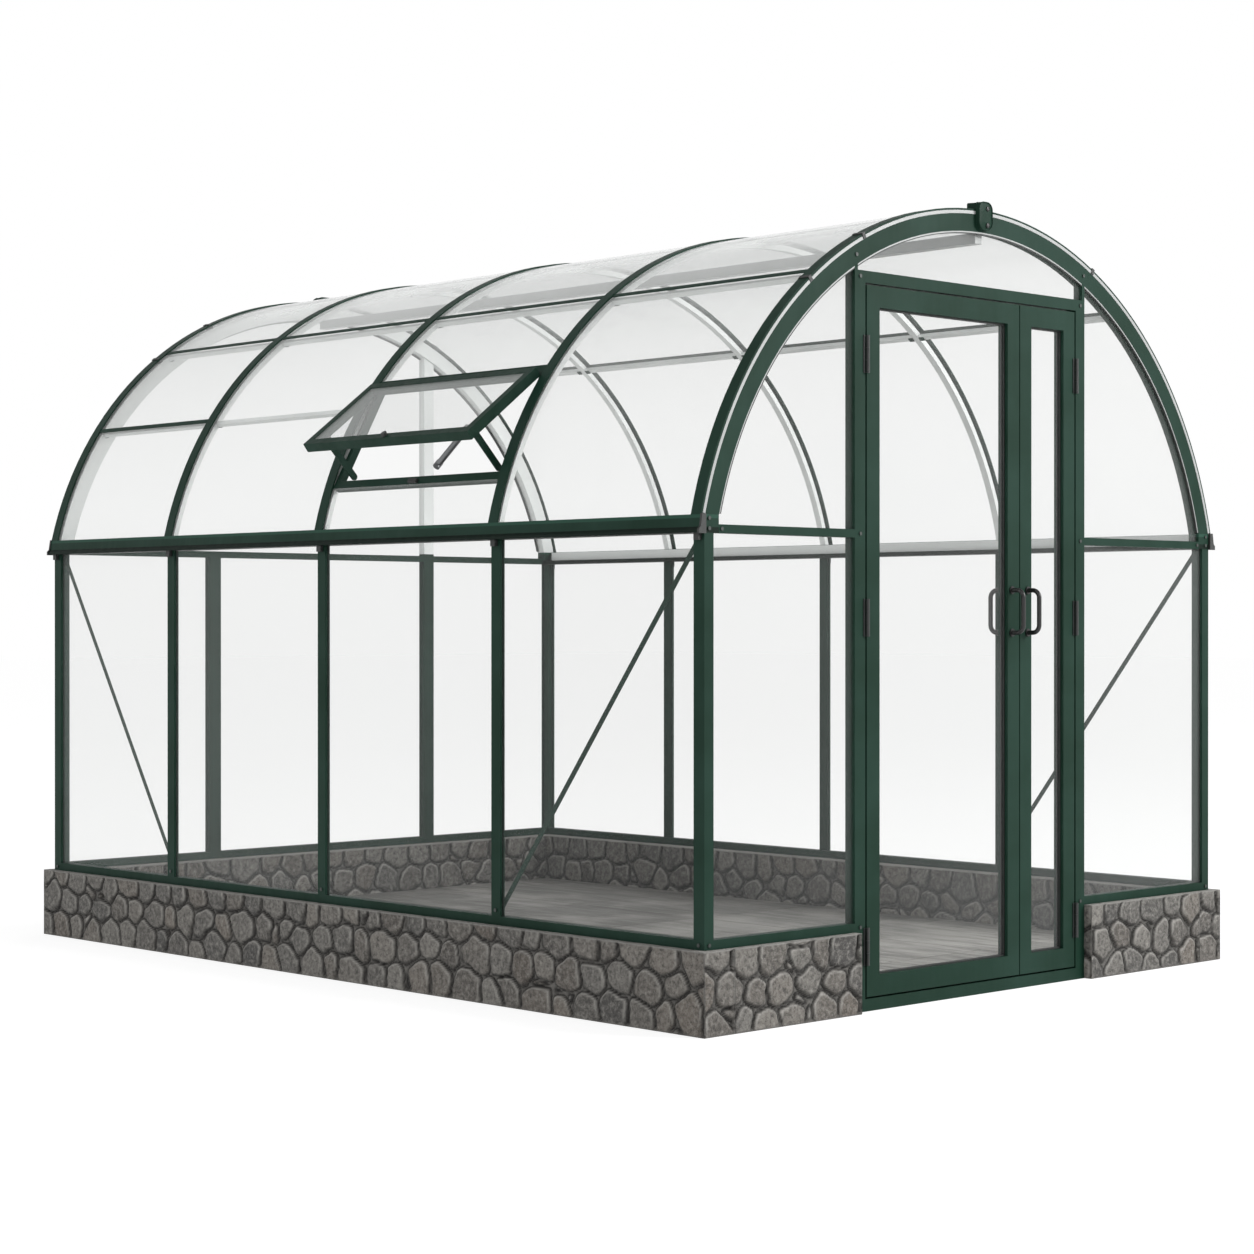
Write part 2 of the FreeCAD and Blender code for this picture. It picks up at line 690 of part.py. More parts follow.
def stile(left_x, groove_right):
    """Upright of a leaf: outer face at Y = 0, glazing groove down one edge."""
    near, far = LEAF_GROOVE_NEAR, LEAF_GROOVE_FAR
    outline = [("0", "0"), ("stile_face", "0"), ("stile_face", near),
               ("stile_face - groove_depth", near), ("stile_face - groove_depth", far),
               ("stile_face", far), ("stile_face", "leaf_thickness"),
               ("0", "leaf_thickness")]
    if not groove_right:
        outline = [(f"stile_face - ({a})", b) for a, b in reversed(outline)]
    bar = prism("XY_Plane", outline, "leaf_height")
    return place(bar, left_x, LEAF_FACE, LEAF_BOTTOM)


def leaf_rail(left_x, run, bottom):
    """Bottom or top rail of a leaf, between its stiles."""
    near, far = LEAF_GROOVE_NEAR, LEAF_GROOVE_FAR
    outline = [("0", "0"), ("leaf_thickness", "0"), ("leaf_thickness", "leaf_rail_face"),
               (far, "leaf_rail_face"), (far, "leaf_rail_face - groove_depth"),
               (near, "leaf_rail_face - groove_depth"), (near, "leaf_rail_face"),
               ("0", "leaf_rail_face")]
    at_z = LEAF_BOTTOM
    if not bottom:
        outline = [(a, f"leaf_rail_face - ({b})") for a, b in reversed(outline)]
        at_z = f"{LEAF_BOTTOM} + leaf_height - leaf_rail_face"
    bar = prism("YZ_Plane", outline, run)
    return place(bar, left_x, LEAF_FACE, at_z)


def pull_handle(at_x, outside):
    """D handle: straight grip, two bends, two stubs and two rosettes."""
    straight = "(handle_height - 2 * handle_radius - 2 * handle_bend)"
    reach = "(handle_reach - handle_radius)"
    level = "(handle_height / 2 - handle_radius)"
    pieces = [rod("handle_radius", straight, 0, f"-{reach}", f"-{straight} / 2")]
    for sign, turned in ((1, Rotation(Vector(0, -1, 0), Vector(0, 0, 1), Vector(-1, 0, 0))),
                         (-1, Rotation(Vector(0, 0, -1), Vector(0, -1, 0), Vector(-1, 0, 0)))):
        bend = doc.addObject("Part::Torus", "bend")
        bind(bend, "Radius1", "handle_bend")
        bind(bend, "Radius2", "handle_radius")
        bend.Angle3 = 90
        bend.Placement = Placement(Vector(), turned)
        place(bend, 0, f"-{reach} + handle_bend", f"{sign} * ({level} - handle_bend)")
        stub = rod("handle_radius", f"{reach} - handle_bend", 0, 0,
                   f"{sign} * {level}", 90, (1, 0, 0))
        rosette = rod("rosette_radius", "rosette_thickness", 0, 0,
                      f"{sign} * {level}", 90, (1, 0, 0))
        pieces += [bend, stub, rosette]
    handle = fuse(*pieces)
    at_y = LEAF_FACE if outside else f"{LEAF_FACE} + leaf_thickness"
    return place(handle, at_x, at_y, "handle_level", 0 if outside else 180)


HINGE_LEVELS = [f"({LEAF_BOTTOM} + hinge_inset)",
                f"({LEAF_BOTTOM} + leaf_height / 2 + middle_hinge_rise)",
                f"({LEAF_BOTTOM} + leaf_height - hinge_inset - hinge_height / 2)"]
AXIS_Y = f"(-{HALF_LENGTH} - knuckle_radius - hinge_stand_off)"


def hinge_half(at_x, middle_z, plate_side, outer):
    """One half of a butt hinge.

    The outer half has the knuckles at both ends, the inner half the one between.
    The plate is cut away round the other half's knuckles, and the bore is a
    running fit on the pin, or a press fit where the pin is held.
    """
    low = f"({middle_z} - hinge_height / 2)"
    third = "(hinge_height / 3)"
    plate_ends = (f"({at_x}) - hinge_plate_width", f"({at_x})") if plate_side < 0 else (
        f"({at_x})", f"({at_x}) + hinge_plate_width")
    plate = span(*plate_ends, f"-{HALF_LENGTH} - hinge_plate", f"-{HALF_LENGTH}",
                 low, f"{low} + hinge_height")
    rolled = []
    if outer:
        rolled.append(rod("knuckle_radius", third, at_x, AXIS_Y, low))
        rolled.append(rod("knuckle_radius", third, at_x, AXIS_Y, f"{low} + 2 * {third}"))
        relief = (f"{low} + {third} - knuckle_gap", f"{low} + 2 * {third} + knuckle_gap")
        reliefs = [relief]
    else:
        rolled.append(rod("knuckle_radius", f"{third} - 2 * knuckle_gap", at_x, AXIS_Y,
                          f"{low} + {third} + knuckle_gap"))
        reliefs = [(f"{low} - tool_overrun", f"{low} + {third} + knuckle_gap"),
                   (f"{low} + 2 * {third} - knuckle_gap", f"{low} + hinge_height + tool_overrun")]
    body = fuse(plate, *rolled)
    for low_z, high_z in reliefs:
        room = rod("knuckle_radius + hinge_stand_off", f"({high_z}) - ({low_z})",
                   at_x, AXIS_Y, low_z)
        body = cut(body, room)
    bore = "pin_radius" if outer else "pin_radius + pin_play"
    return cut(body, rod(bore, "hinge_height + 2 * tool_overrun", at_x, AXIS_Y,
                         f"{low} - tool_overrun"))


LEFT_AXIS_X = f"({OPENING_LEFT} + leaf_side_gap / 2)"
RIGHT_AXIS_X = f"({OPENING_RIGHT} - leaf_side_gap / 2)"


def make_door(name, left_x, width, axis_x, plate_side, handle_x):
    right_x = f"({left_x} + {width})"
    inner = f"({width} - 2 * stile_face)"
    group(f"{name}_frame", [
        stile(left_x, True), stile(f"{right_x} - stile_face", False),
        leaf_rail(f"{left_x} + stile_face", inner, True),
        leaf_rail(f"{left_x} + stile_face", inner, False)])
    middle = f"({LEAF_FACE} + leaf_thickness / 2)"
    node(span(f"{left_x} + stile_face - pane_bite", f"{right_x} - stile_face + pane_bite",
              f"{middle} - door_pane / 2", f"{middle} + door_pane / 2",
              f"{LEAF_BOTTOM} + leaf_rail_face - pane_bite",
              f"{LEAF_BOTTOM} + leaf_height - leaf_rail_face + pane_bite"),
         f"{name}_pane")
    group(f"{name}_handles", [pull_handle(handle_x, True), pull_handle(handle_x, False)])
    group(f"{name}_hinge_leaves",
          [hinge_half(axis_x, level, plate_side, False) for level in HINGE_LEVELS])


def make_doors():
    make_door("wide_door", WIDE_LEFT, "wide_leaf", LEFT_AXIS_X, 1,
              f"{WIDE_RIGHT} - handle_inset")
    make_door("narrow_door", NARROW_LEFT, "narrow_leaf", RIGHT_AXIS_X, -1,
              f"{NARROW_LEFT} + handle_inset")
    fixed = []
    pins = []
    for axis_x, plate_side in ((LEFT_AXIS_X, -1), (RIGHT_AXIS_X, 1)):
        for level in HINGE_LEVELS:
            fixed.append(hinge_half(axis_x, level, plate_side, True))
            pins.append(rod("pin_radius", "hinge_height", axis_x, AXIS_Y,
                            f"{level} - hinge_height / 2"))
    group("jamb_hinge_leaves", fixed + pins)


# ----------------------------------------------------------------------- roof vent
VENT_BAY = 1
VENT_RADIUS = PANE_OUTER
HINGE_X = f"(-1 * {VENT_RADIUS} * sin(vent_top_angle))"
HINGE_Z = f"({ARCH_Z} + {VENT_RADIUS} * cos(vent_top_angle))"
CHORD = "((vent_top_angle + vent_foot_angle) / 2)"
# Local frame of the vent: X down the slope, Y along the house, Z inward.
FRAME_TURN = f"(180 - {CHORD})"
SASH_TURN = f"(180 - {CHORD} + vent_open_angle)"
VENT_CHORD = f"(2 * {VENT_RADIUS} * sin((vent_foot_angle - vent_top_angle) / 2))"
VENT_HEAD = "(-vent_bar - vent_bar_set_in)"
VENT_SILL = f"({VENT_CHORD} - vent_bar / 2)"
BAY_LOW = f"({RIB_Y[VENT_BAY]} + rib_face / 2)"
BAY_HIGH = f"({RIB_Y[VENT_BAY + 1]} - rib_face / 2)"
SASH_LOW = f"({BAY_LOW} + sash_side_gap)"
SASH_HIGH = f"({BAY_HIGH} - sash_side_gap)"


def on_vent(pieces, label, turn):
    """Group pieces drawn in the vent's local frame and set them on the slope."""
    result = group(label, pieces)
    return place(result, HINGE_X, 0, HINGE_Z, turn, (0, 1, 0))


def make_vent():
    high = ("vent_hinge_plate", "vent_hinge_plate + vent_bar")
    level = ("vent_frame_proud", "vent_frame_proud + vent_bar")
    run = ("-vent_bar_set_in", VENT_SILL)
    header = span(VENT_HEAD, "-vent_bar_set_in", BAY_LOW, BAY_HIGH, *high)
    sill = span(VENT_SILL, f"{VENT_SILL} + vent_bar", BAY_LOW, BAY_HIGH, *level)
    sides = [span(*run, BAY_LOW, f"{BAY_LOW} + vent_side_bar", *level),
             span(*run, f"{BAY_HIGH} - vent_side_bar", BAY_HIGH, *level)]
    on_vent([header, sill] + sides, "vent_frame", FRAME_TURN)
    inner_low = f"({SASH_LOW} + sash_rail)"
    inner_high = f"({SASH_HIGH} - sash_rail)"
    depth = ("-sash_depth", "0")
    rails = [span("sash_set_in", "sash_length", SASH_LOW, inner_low, *depth),
             span("sash_set_in", "sash_length", inner_high, SASH_HIGH, *depth),
             span("sash_set_in", "sash_set_in + sash_rail", inner_low, inner_high, *depth),
             span("sash_length - sash_rail", "sash_length", inner_low, inner_high, *depth)]
    on_vent(rails, "vent_sash_frame", SASH_TURN)
    on_vent([span("sash_set_in + sash_rail", "sash_length - sash_rail", inner_low, inner_high,
                  "-sash_depth + vent_pane_inset", "-sash_depth + vent_pane_inset + vent_pane")],
            "vent_sash_pane", SASH_TURN)


def along_y(radius, low_y, high_y, at_x=0, at_z=0):
    """Round bar parallel to Y."""
    return rod(radius, f"({high_y}) - ({low_y})", at_x, high_y, at_z, 90, (1, 0, 0))


def vent_hinge(low_y):
    """Fixed half, moving half and pin of one vent hinge, the axis along Y."""
    third = "(vent_hinge_length / 3)"
    high_y = f"({low_y} + vent_hinge_length)"
    first = f"({low_y} + {third})"
    second = f"({low_y} + 2 * {third})"
    plate = span("-vent_bar", "0", low_y, high_y, "0", "vent_hinge_plate")
    fixed = fuse(plate, along_y("vent_knuckle", low_y, first),
                 along_y("vent_knuckle", second, high_y))
    fixed = cut(fixed, along_y("vent_knuckle + knuckle_gap", f"{first} - knuckle_gap",
                               f"{second} + knuckle_gap"))
    fixed = cut(fixed, along_y("vent_pin", f"{low_y} - tool_overrun", f"{high_y} + tool_overrun"))
    middle = (f"{first} + knuckle_gap", f"{second} - knuckle_gap")
    tab = span("0", "sash_set_in", *middle, "-vent_knuckle", "-vent_tab_gap")
    moving = cut(fuse(tab, along_y("vent_knuckle", *middle)),
                 along_y("vent_pin + pin_play", f"{low_y} - tool_overrun",
                         f"{high_y} + tool_overrun"))
    return fixed, moving, along_y("vent_pin", low_y, high_y)


PIVOT_X = "(sash_length - sash_rail - stay_width)"
RAIL_EDGE = "(sash_length - sash_rail)"


def vent_stay(label, lug_y):
    """Flat arm under the sash: it turns on a pin in a lug on the bottom rail."""
    arm_low = f"({lug_y} + stay_lug + stay_play)"
    arm_high = f"({arm_low} + stay_thickness)"
    half = "(stay_width / 2)"
    bar = fuse(span("0", "stay_length", arm_low, arm_high, f"-{half}", half),
               along_y(half, arm_low, arm_high), along_y(half, arm_low, arm_high, "stay_length"))
    bar = cut(bar, along_y("stay_pin + pin_play", f"{arm_low} - tool_overrun",
                           f"{arm_high} + tool_overrun"))
    place(bar, PIVOT_X, 0, "-stay_depth", "stay_angle - 180", (0, 1, 0))
    lug = fuse(span(f"{PIVOT_X} - {half}", RAIL_EDGE, lug_y, f"{lug_y} + stay_lug",
                    "-2 * stay_depth", "0"),
               along_y("stay_pin", lug_y, f"{arm_high} + stay_play", PIVOT_X, "-stay_depth"),
               along_y("stay_pin + stay_washer", f"{arm_high} + stay_play",
                       f"{arm_high} + stay_play + stay_washer", PIVOT_X, "-stay_depth"))
    on_vent([bar], label, SASH_TURN)
    return lug


def vent_strut(at_y):
    """Bowed round strut: an eye on a pin at the sash, a foot block at the sill."""
    sweep = "(2 * asin(strut_length / 2 / strut_bow_radius))"
    bow = doc.addObject("Part::Torus", "bow")
    bind(bow, "Radius1", "strut_bow_radius")
    bind(bow, "Radius2", "strut_radius")
    bind(bow, "Angle3", sweep)
    place(bow, f"strut_bow_radius * cos({sweep} / 2)", "strut_length / 2", 0,
          f"180 deg - {sweep} / 2")
    eye = rod("strut_radius + strut_eye", "2 * strut_radius", "-strut_radius",
              0, 0, 90, (0, 1, 0))
    foot = rod("strut_radius + strut_eye", "2 * (strut_radius + strut_eye)",
               "-strut_radius - strut_eye", "strut_length", 0, 90, (0, 1, 0))
    bore = rod("stay_pin + pin_play", "8 * strut_radius", "-4 * strut_radius",
               0, 0, 90, (0, 1, 0))
    strut = cut(fuse(bow, eye, foot), bore)
    place(strut, 0, 0, 0, "strut_angle", (1, 0, 0))
    tilted = bundle([strut])
    place(tilted, PIVOT_X, at_y, "-stay_depth", "-strut_tilt", (0, 1, 0))
    on_vent([tilted], "vent_strut", SASH_TURN)
    pin = rod("stay_pin", "strut_radius + stay_width", "-strut_radius - strut_pin_end",
              0, 0, 90, (0, 1, 0))
    place(pin, f"{PIVOT_X} - (strut_radius + strut_pin_end) * cos(strut_tilt)", at_y,
          "-stay_depth - (strut_radius + strut_pin_end) * sin(strut_tilt)",
          "90 - strut_tilt", (0, 1, 0))
    lug = span(f"{RAIL_EDGE} - strut_lug", RAIL_EDGE, f"{at_y} - stay_width / 2",
               f"{at_y} + stay_width / 2", "-2 * stay_depth", "0")
    return fuse(lug, pin)


def make_vent_fittings():
    halves = [vent_hinge(f"({SASH_LOW} + vent_hinge_inset)"),
              vent_hinge(f"({SASH_HIGH} - vent_hinge_inset - vent_hinge_length)")]
    on_vent([half[0] for half in halves] + [half[2] for half in halves],
            "vent_hinge_fixed", FRAME_TURN)
    on_vent([half[1] for half in halves], "vent_hinge_moving", SASH_TURN)
    lugs = [vent_stay("vent_stay_front", f"({SASH_LOW} + sash_rail + stay_washer)"),
            vent_stay("vent_stay_rear", f"({SASH_HIGH} - sash_rail - rear_stay_inset)"),
            vent_strut(f"({SASH_LOW} + sash_rail + strut_inset)")]
    on_vent(lugs, "vent_stay_lugs", SASH_TURN)
    middle = f"(({SASH_LOW} + {SASH_HIGH}) / 2)"
    knob = rod("knob_radius", "knob_height", "sash_length - sash_rail / 2", middle,
               "-sash_depth - knob_height")
    stop = along_y("knob_radius", f"{SASH_LOW} + sash_rail",
                   f"{SASH_LOW} + sash_rail + knob_height", "stop_knob_inset", "vent_hinge_plate")
    on_vent([knob, stop], "vent_knobs", SASH_TURN)
    catch_x = f"({VENT_SILL} + catch_inset)"
    on_vent([span(catch_x, f"{catch_x} + clip_depth", f"{middle} - clip_length",
                  f"{middle} + clip_length", "vent_frame_proud - knob_height", "vent_frame_proud")],
            "vent_catch", FRAME_TURN)


# ------------------------------------------------------------- bolts and clips
def gable_bolt(at_x, at_z, end):
    """Round bolt head on a gable face."""
    face = f"-{HALF_LENGTH}" if end < 0 else f"{HALF_LENGTH} + bolt_head"
    return rod("bolt_radius", "bolt_head", at_x, face, at_z, 90, (1, 0, 0))


def wall_bolt(side, at_y, at_z):
    """Round bolt head on a long wall."""
    face = f"-{HALF_WIDTH} - bolt_head" if side < 0 else HALF_WIDTH
    return rod("bolt_radius", "bolt_head", face, at_y, at_z, 90, (0, 1, 0))


def make_fasteners():
    post_x = f"({HALF_WIDTH} - corner_depth / 2)"
    foot_z = "(plinth_height + sill_height / 2)"
    rail_z = "(eave_bottom + gable_rail_height / 2)"
    rib_middle = f"({RIB_OUTER} - rib_depth / 2)"
    bolts = []
    for end in (-1, 1):
        for side in (-1, 1):
            bolts += [gable_bolt(f"{side} * {post_x}", foot_z, end),
                      gable_bolt(f"{side} * {post_x}", rail_z, end),
                      gable_bolt(f"{side} * {post_x}", f"{EAVE_TOP} - bolt_fall", end),
                      gable_bolt(f"{side} * ({INSIDE_EAVE} - bolt_radius - bolt_edge)", rail_z, end)]
    jambs = (f"({JAMB_LEFT} + jamb_face / 2)", f"({JAMB_RIGHT} - jamb_face / 2)")
    heads = [(f"({JAMB_LEFT} + upper_post_face / 2)", -1),
             (f"({JAMB_RIGHT} - upper_post_face / 2)", -1), ("rear_post_offset", 1)]
    for at_x, end in heads:
        bolts.append(gable_bolt(at_x, f"{ARCH_Z} + sqrt({rib_middle} ^ 2 - ({at_x}) ^ 2)", end))
    for at_x in jambs:
        bolts += [gable_bolt(at_x, rail_z, -1), gable_bolt(at_x, foot_z, -1),
                  gable_bolt(at_x, f"{HEAD_TOP} - head_height / 2", -1)]
    for side in (-1, 1):
        for at_y in (*RIB_Y[1:4], f"(corner_face / 2 - {HALF_LENGTH})",
                     f"({HALF_LENGTH} - corner_face / 2)"):
            at_z = foot_z if "corner" in at_y else f"{SILL_TOP} + bolt_rise"
            bolts.append(wall_bolt(side, at_y, at_z))
    group("frame_bolts", bolts)
    clips = []
    for side in (-1, 1):
        face = (f"-{HALF_WIDTH} - clip_depth", f"-{HALF_WIDTH}") if side < 0 else (
            HALF_WIDTH, f"{HALF_WIDTH} + clip_depth")
        for at_y in RIB_Y:
            clips.append(span(*face, f"{at_y} - clip_length / 2", f"{at_y} + clip_length / 2",
                              "eave_bottom - clip_length", "eave_bottom"))
    group("gutter_clips", clips)


def build():
    make_plinth()
    make_posts()
    make_sills()
    make_gable_frame()
    make_gable_panes()
    make_side_panes()
    make_eaves()
    make_ribs()
    make_roof_panes()
    make_ridge()
    make_purlins()
    make_braces()
    make_door_frame()
    make_doors()
    make_vent()
    make_vent_fittings()
    make_fasteners()


build()
doc.recompute()

faults = [item.Label for item in doc.Objects
          if "Invalid" in item.State or "Error" in item.State]
for item in NODES:
    if item.Shape.isNull() or not item.Shape.isValid():
        faults.append(item.Label)
if faults:
    raise SystemExit("not built: " + ", ".join(sorted(set(faults))))
os.makedirs("parts", exist_ok=True)
for item in NODES:
    item.Shape.exportStep(f"parts/{item.Label}.step")
print(len(NODES), "sub-parts written")
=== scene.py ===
import math

import bpy
import numpy as np
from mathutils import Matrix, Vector


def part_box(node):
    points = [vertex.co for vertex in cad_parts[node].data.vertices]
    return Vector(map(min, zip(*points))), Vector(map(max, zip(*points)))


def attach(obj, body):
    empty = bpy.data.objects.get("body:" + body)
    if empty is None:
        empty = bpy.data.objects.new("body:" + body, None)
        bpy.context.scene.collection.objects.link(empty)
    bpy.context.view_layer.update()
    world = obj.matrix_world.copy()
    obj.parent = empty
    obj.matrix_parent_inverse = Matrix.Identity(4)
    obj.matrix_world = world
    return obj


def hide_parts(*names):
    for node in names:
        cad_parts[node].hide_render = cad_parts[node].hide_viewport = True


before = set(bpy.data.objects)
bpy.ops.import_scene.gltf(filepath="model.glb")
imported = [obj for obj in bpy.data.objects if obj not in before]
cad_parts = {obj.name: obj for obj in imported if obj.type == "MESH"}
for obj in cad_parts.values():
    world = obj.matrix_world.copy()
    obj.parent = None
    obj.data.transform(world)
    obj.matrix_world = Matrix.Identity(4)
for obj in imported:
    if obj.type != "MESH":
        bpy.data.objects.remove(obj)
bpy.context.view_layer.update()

PLINTH_BOX = (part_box("plinth_left")[0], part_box("plinth_right")[1])
STONE_STEP = 0.0045
END_FACE_STEP = 0.0055
SHORT_SIDE = 0.15

# Where the eave rails and the rear gable show bare metal, and the heights of the painted shade below
# each eave rail's flange and the painted highlight along its lip, in metres.
RAIL_INSIDE_X = 1.0832
RAIL_INSIDE_Y = (-1.47, 1.47)
RAIL_INSIDE_Z = (1.2753, 1.3060)
RAIL_SHADED_Z = (1.0, 1.2755)
RAIL_LIP_HIGHLIGHT_Z = (1.298, 1.32)
GABLE_INSIDE_Y = (1.40, 1.5155)
ABOVE_GABLE_RAIL_Z = (1.29, 3.0)

# Rubble walling, in metres.
STONE_PITCH = 0.098
PINNING_STONE_PITCH = 0.12
JOINT_DEPTH = 0.0130
HALF_JOINT = 0.0034
BORDER_SOFTNESS = 0.0045
STONE_SHOULDER = 0.017
EDGE_FADE = 0.007
WORN_EDGE = 0.0045
POINTS_AT_ONCE = 40000

# Paving, in metres.
SLAB_PITCH = (0.41, 0.60)
PAVING_STEP = 0.03
JOINT_LINES = (-0.005, -0.0022, 0.0022, 0.005)
JOINT_SINK = 0.0025
JOINT_HALF_WIDTH = 0.003
PAVING_WAVE = 0.0002

# Trim on the end arches, the ridge and the doors, in metres.
RIB_DEPTH = 0.048
PANE_REBATE = 0.0077
CLIP_ANGLES = (128.5, 116.0, 63.5)
CLIP_HALF_ANGLE = 0.005
SEAL_WIDTH = 0.004
SEAL_INSET = 0.0081
DOORWAY_GAP = 0.0005
ENDS = ((-1.0, "front"), (1.0, "rear"))

DARK_GREEN = (0.0058, 0.0235, 0.0142)
LIGHT_GREEN = (0.0104, 0.0325, 0.0222)
BARE_METAL = (0.74, 0.76, 0.75)
GREEN_GLOSS = 0.42

# Nodes that share a finish, by the record's material slot.
GREEN_METAL = [
    "corner_posts", "door_head", "door_jamb_left", "door_jamb_right", "door_threshold",
    "gable_rails", "gable_sills", "side_posts_left", "side_posts_right", "side_sills",
    "rib_front", "ridge_capping",
    "vent_frame", "vent_sash_frame", "vent_stay_front", "vent_stay_rear",
    "wide_door_frame", "narrow_door_frame", "wind_braces", "rib_cap_strips", "purlin_clips",
    "purlin_cap_strips",
]
BARE_INSIDE_RAILS = ["eave_rail_left", "eave_rail_right"]
BARE_INSIDE_GABLE = ["rib_rear", "gable_posts"]
PALE_METAL = ["ribs_middle", "purlins_left", "purlins_right"]
DOOR_AND_WALL_PANES = [
    "gable_panes_front", "gable_panes_rear", "side_panes_left", "side_panes_right",
    "wide_door_pane", "narrow_door_pane", "vent_sash_pane",
]
ROOF_PANES = ["roof_panes_left", "roof_panes_right"]
BLACK_PLASTIC = ["eave_end_caps", "vent_knobs", "vent_catch", "gutter_clips"]
BLACK_STEEL = [
    "jamb_hinge_leaves", "wide_door_hinge_leaves", "narrow_door_hinge_leaves",
    "vent_hinge_fixed", "vent_hinge_moving", "vent_stay_lugs",
]
HANDLES = ["wide_door_handles", "narrow_door_handles"]


class Finish:
    """One material: its Principled shader, and short calls that add nodes and join them."""

    def __init__(self, name):
        self.material = bpy.data.materials.new(name)
        self.material.use_nodes = True
        self.tree = self.material.node_tree
        self.shader = self.tree.nodes["Principled BSDF"]
        self.output = self.tree.nodes["Material Output"]
        self.place = self.add("ShaderNodeTexCoord").outputs["Object"]

    def add(self, kind, inputs=None, **settings):
        made = self.tree.nodes.new(kind)
        for key, value in settings.items():
            setattr(made, key, value)
        for key, value in (inputs or {}).items():
            self.join(value, made.inputs[key])
        return made

    def join(self, value, socket):
        if isinstance(value, bpy.types.NodeSocket):
            self.tree.links.new(value, socket)
        else:
            socket.default_value = value

    def set(self, **values):
        """Sets the shader's sockets, with underscores for the spaces in their names."""
        for key, value in values.items():
            self.join(value, self.shader.inputs[key.replace("_", " ")])
        return self

    def noise(self, per_metre, detail=4.0, rough=0.55, where=None):
        made = self.add("ShaderNodeTexNoise", {"Vector": where or self.place, "Scale": per_metre,
                                              "Detail": detail, "Roughness": rough})
        return made.outputs["Fac"]

    def painted(self, attribute):
        """The value that the mesh holds at each point under this name."""
        return self.add("ShaderNodeAttribute", attribute_name=attribute).outputs["Fac"]

    def stretched(self, x, y, z):
        """Object coordinates scaled differently along each axis, for drawn-out patterns."""
        return self.add("ShaderNodeMapping", {"Vector": self.place, "Scale": (x, y, z)}).outputs[0]

    def sum(self, operation, first, second=0.0, third=0.0):
        made = self.add("ShaderNodeMath", {0: first, 1: second, 2: third}, operation=operation)
        return made.outputs[0]

    def steps(self, value, low, high, low_out, high_out):
        made = self.add("ShaderNodeMapRange", {"Value": value, "From Min": low, "From Max": high,
                                               "To Min": low_out, "To Max": high_out})
        return made.outputs[0]

    def blend(self, share, first, second, how="MIX"):
        made = self.add("ShaderNodeMix", data_type="RGBA", blend_type=how)
        self.join(share, made.inputs["Factor"])
        for name, value in (("A", first), ("B", second)):
            socket = [s for s in made.inputs if s.name == name and s.type == "RGBA"][0]
            if not isinstance(value, bpy.types.NodeSocket):
                value = (*value, 1.0)
            self.join(value, socket)
        return [s for s in made.outputs if s.type == "RGBA"][0]

    def bump(self, height, distance, strength=1.0, under=None):
        inputs = {"Height": height, "Distance": distance, "Strength": strength}
        if under is not None:
            inputs["Normal"] = under
        return self.add("ShaderNodeBump", inputs).outputs[0]


def band(finish, value, low, high):
    """1 where a value lies between two limits, else 0."""
    above = finish.sum("GREATER_THAN", value, low)
    return finish.sum("MULTIPLY", above, finish.sum("LESS_THAN", value, high))


def bare_rail_inside(finish):
    """The upright inner face of an eave rail, above its flange."""
    place = finish.add("ShaderNodeSeparateXYZ", {"Vector": finish.place}).outputs
    across = band(finish, finish.sum("ABSOLUTE", place["X"]), 0.0, RAIL_INSIDE_X)
    across = finish.sum("MULTIPLY", across, band(finish, place["Y"], *RAIL_INSIDE_Y))
    return finish.sum("MULTIPLY", across, band(finish, place["Z"], *RAIL_INSIDE_Z))


def bare_gable_inside(finish):
    """The rear arch and the rear posts above the rail, but for their outer faces."""
    place = finish.add("ShaderNodeSeparateXYZ", {"Vector": finish.place}).outputs
    inner = band(finish, place["Y"], *GABLE_INSIDE_Y)
    return finish.sum("MULTIPLY", inner, band(finish, place["Z"], *ABOVE_GABLE_RAIL_Z))


def scaled(tone, share):
    """A colour with each of its three parts times a share."""
    return tuple(share * part for part in tone)


def green_coat(name, bare=None):
    """Powder coat: two close greens by a broad cloud, fine lighter specks, an upright streak in the
    gloss and a fine orange-peel bump. bare, if given, marks the part that was left uncoated. An
    eave rail gets painted shade below its flange and a painted highlight along its lip."""
    coat = Finish(name)
    cloud = coat.noise(5.0, 3.0)
    speck = coat.noise(420.0, 2.0)
    tone = coat.blend(coat.steps(cloud, 0.35, 0.65, 0.0, 1.0), DARK_GREEN, LIGHT_GREEN)
    tone = coat.blend(coat.steps(speck, 0.55, 0.8, 0.0, 0.25), tone, LIGHT_GREEN)
    streak = coat.noise(60.0, 3.0, where=coat.stretched(1.0, 1.0, 0.05))
    rough = coat.steps(streak, 0.3, 0.7, GREEN_GLOSS, GREEN_GLOSS + 0.12)
    peel = coat.noise(900.0, 1.0)
    if bare is bare_rail_inside:
        # Painted shade below the eave rail's flange and a painted highlight along its lip, by height.
        height = coat.add("ShaderNodeSeparateXYZ", {"Vector": coat.place}).outputs["Z"]
        tone = coat.blend(band(coat, height, *RAIL_SHADED_Z), tone, scaled(DARK_GREEN, 0.35))
        tone = coat.blend(band(coat, height, *RAIL_LIP_HIGHLIGHT_Z), tone, scaled(LIGHT_GREEN, 1.7))
    if bare is not None:
        tone = coat.blend(bare(coat), tone, BARE_METAL)
    coat.set(Base_Color=tone, Roughness=rough, Specular_IOR_Level=0.10,
             Normal=coat.bump(peel, 0.00025, 0.5))
    return coat.material


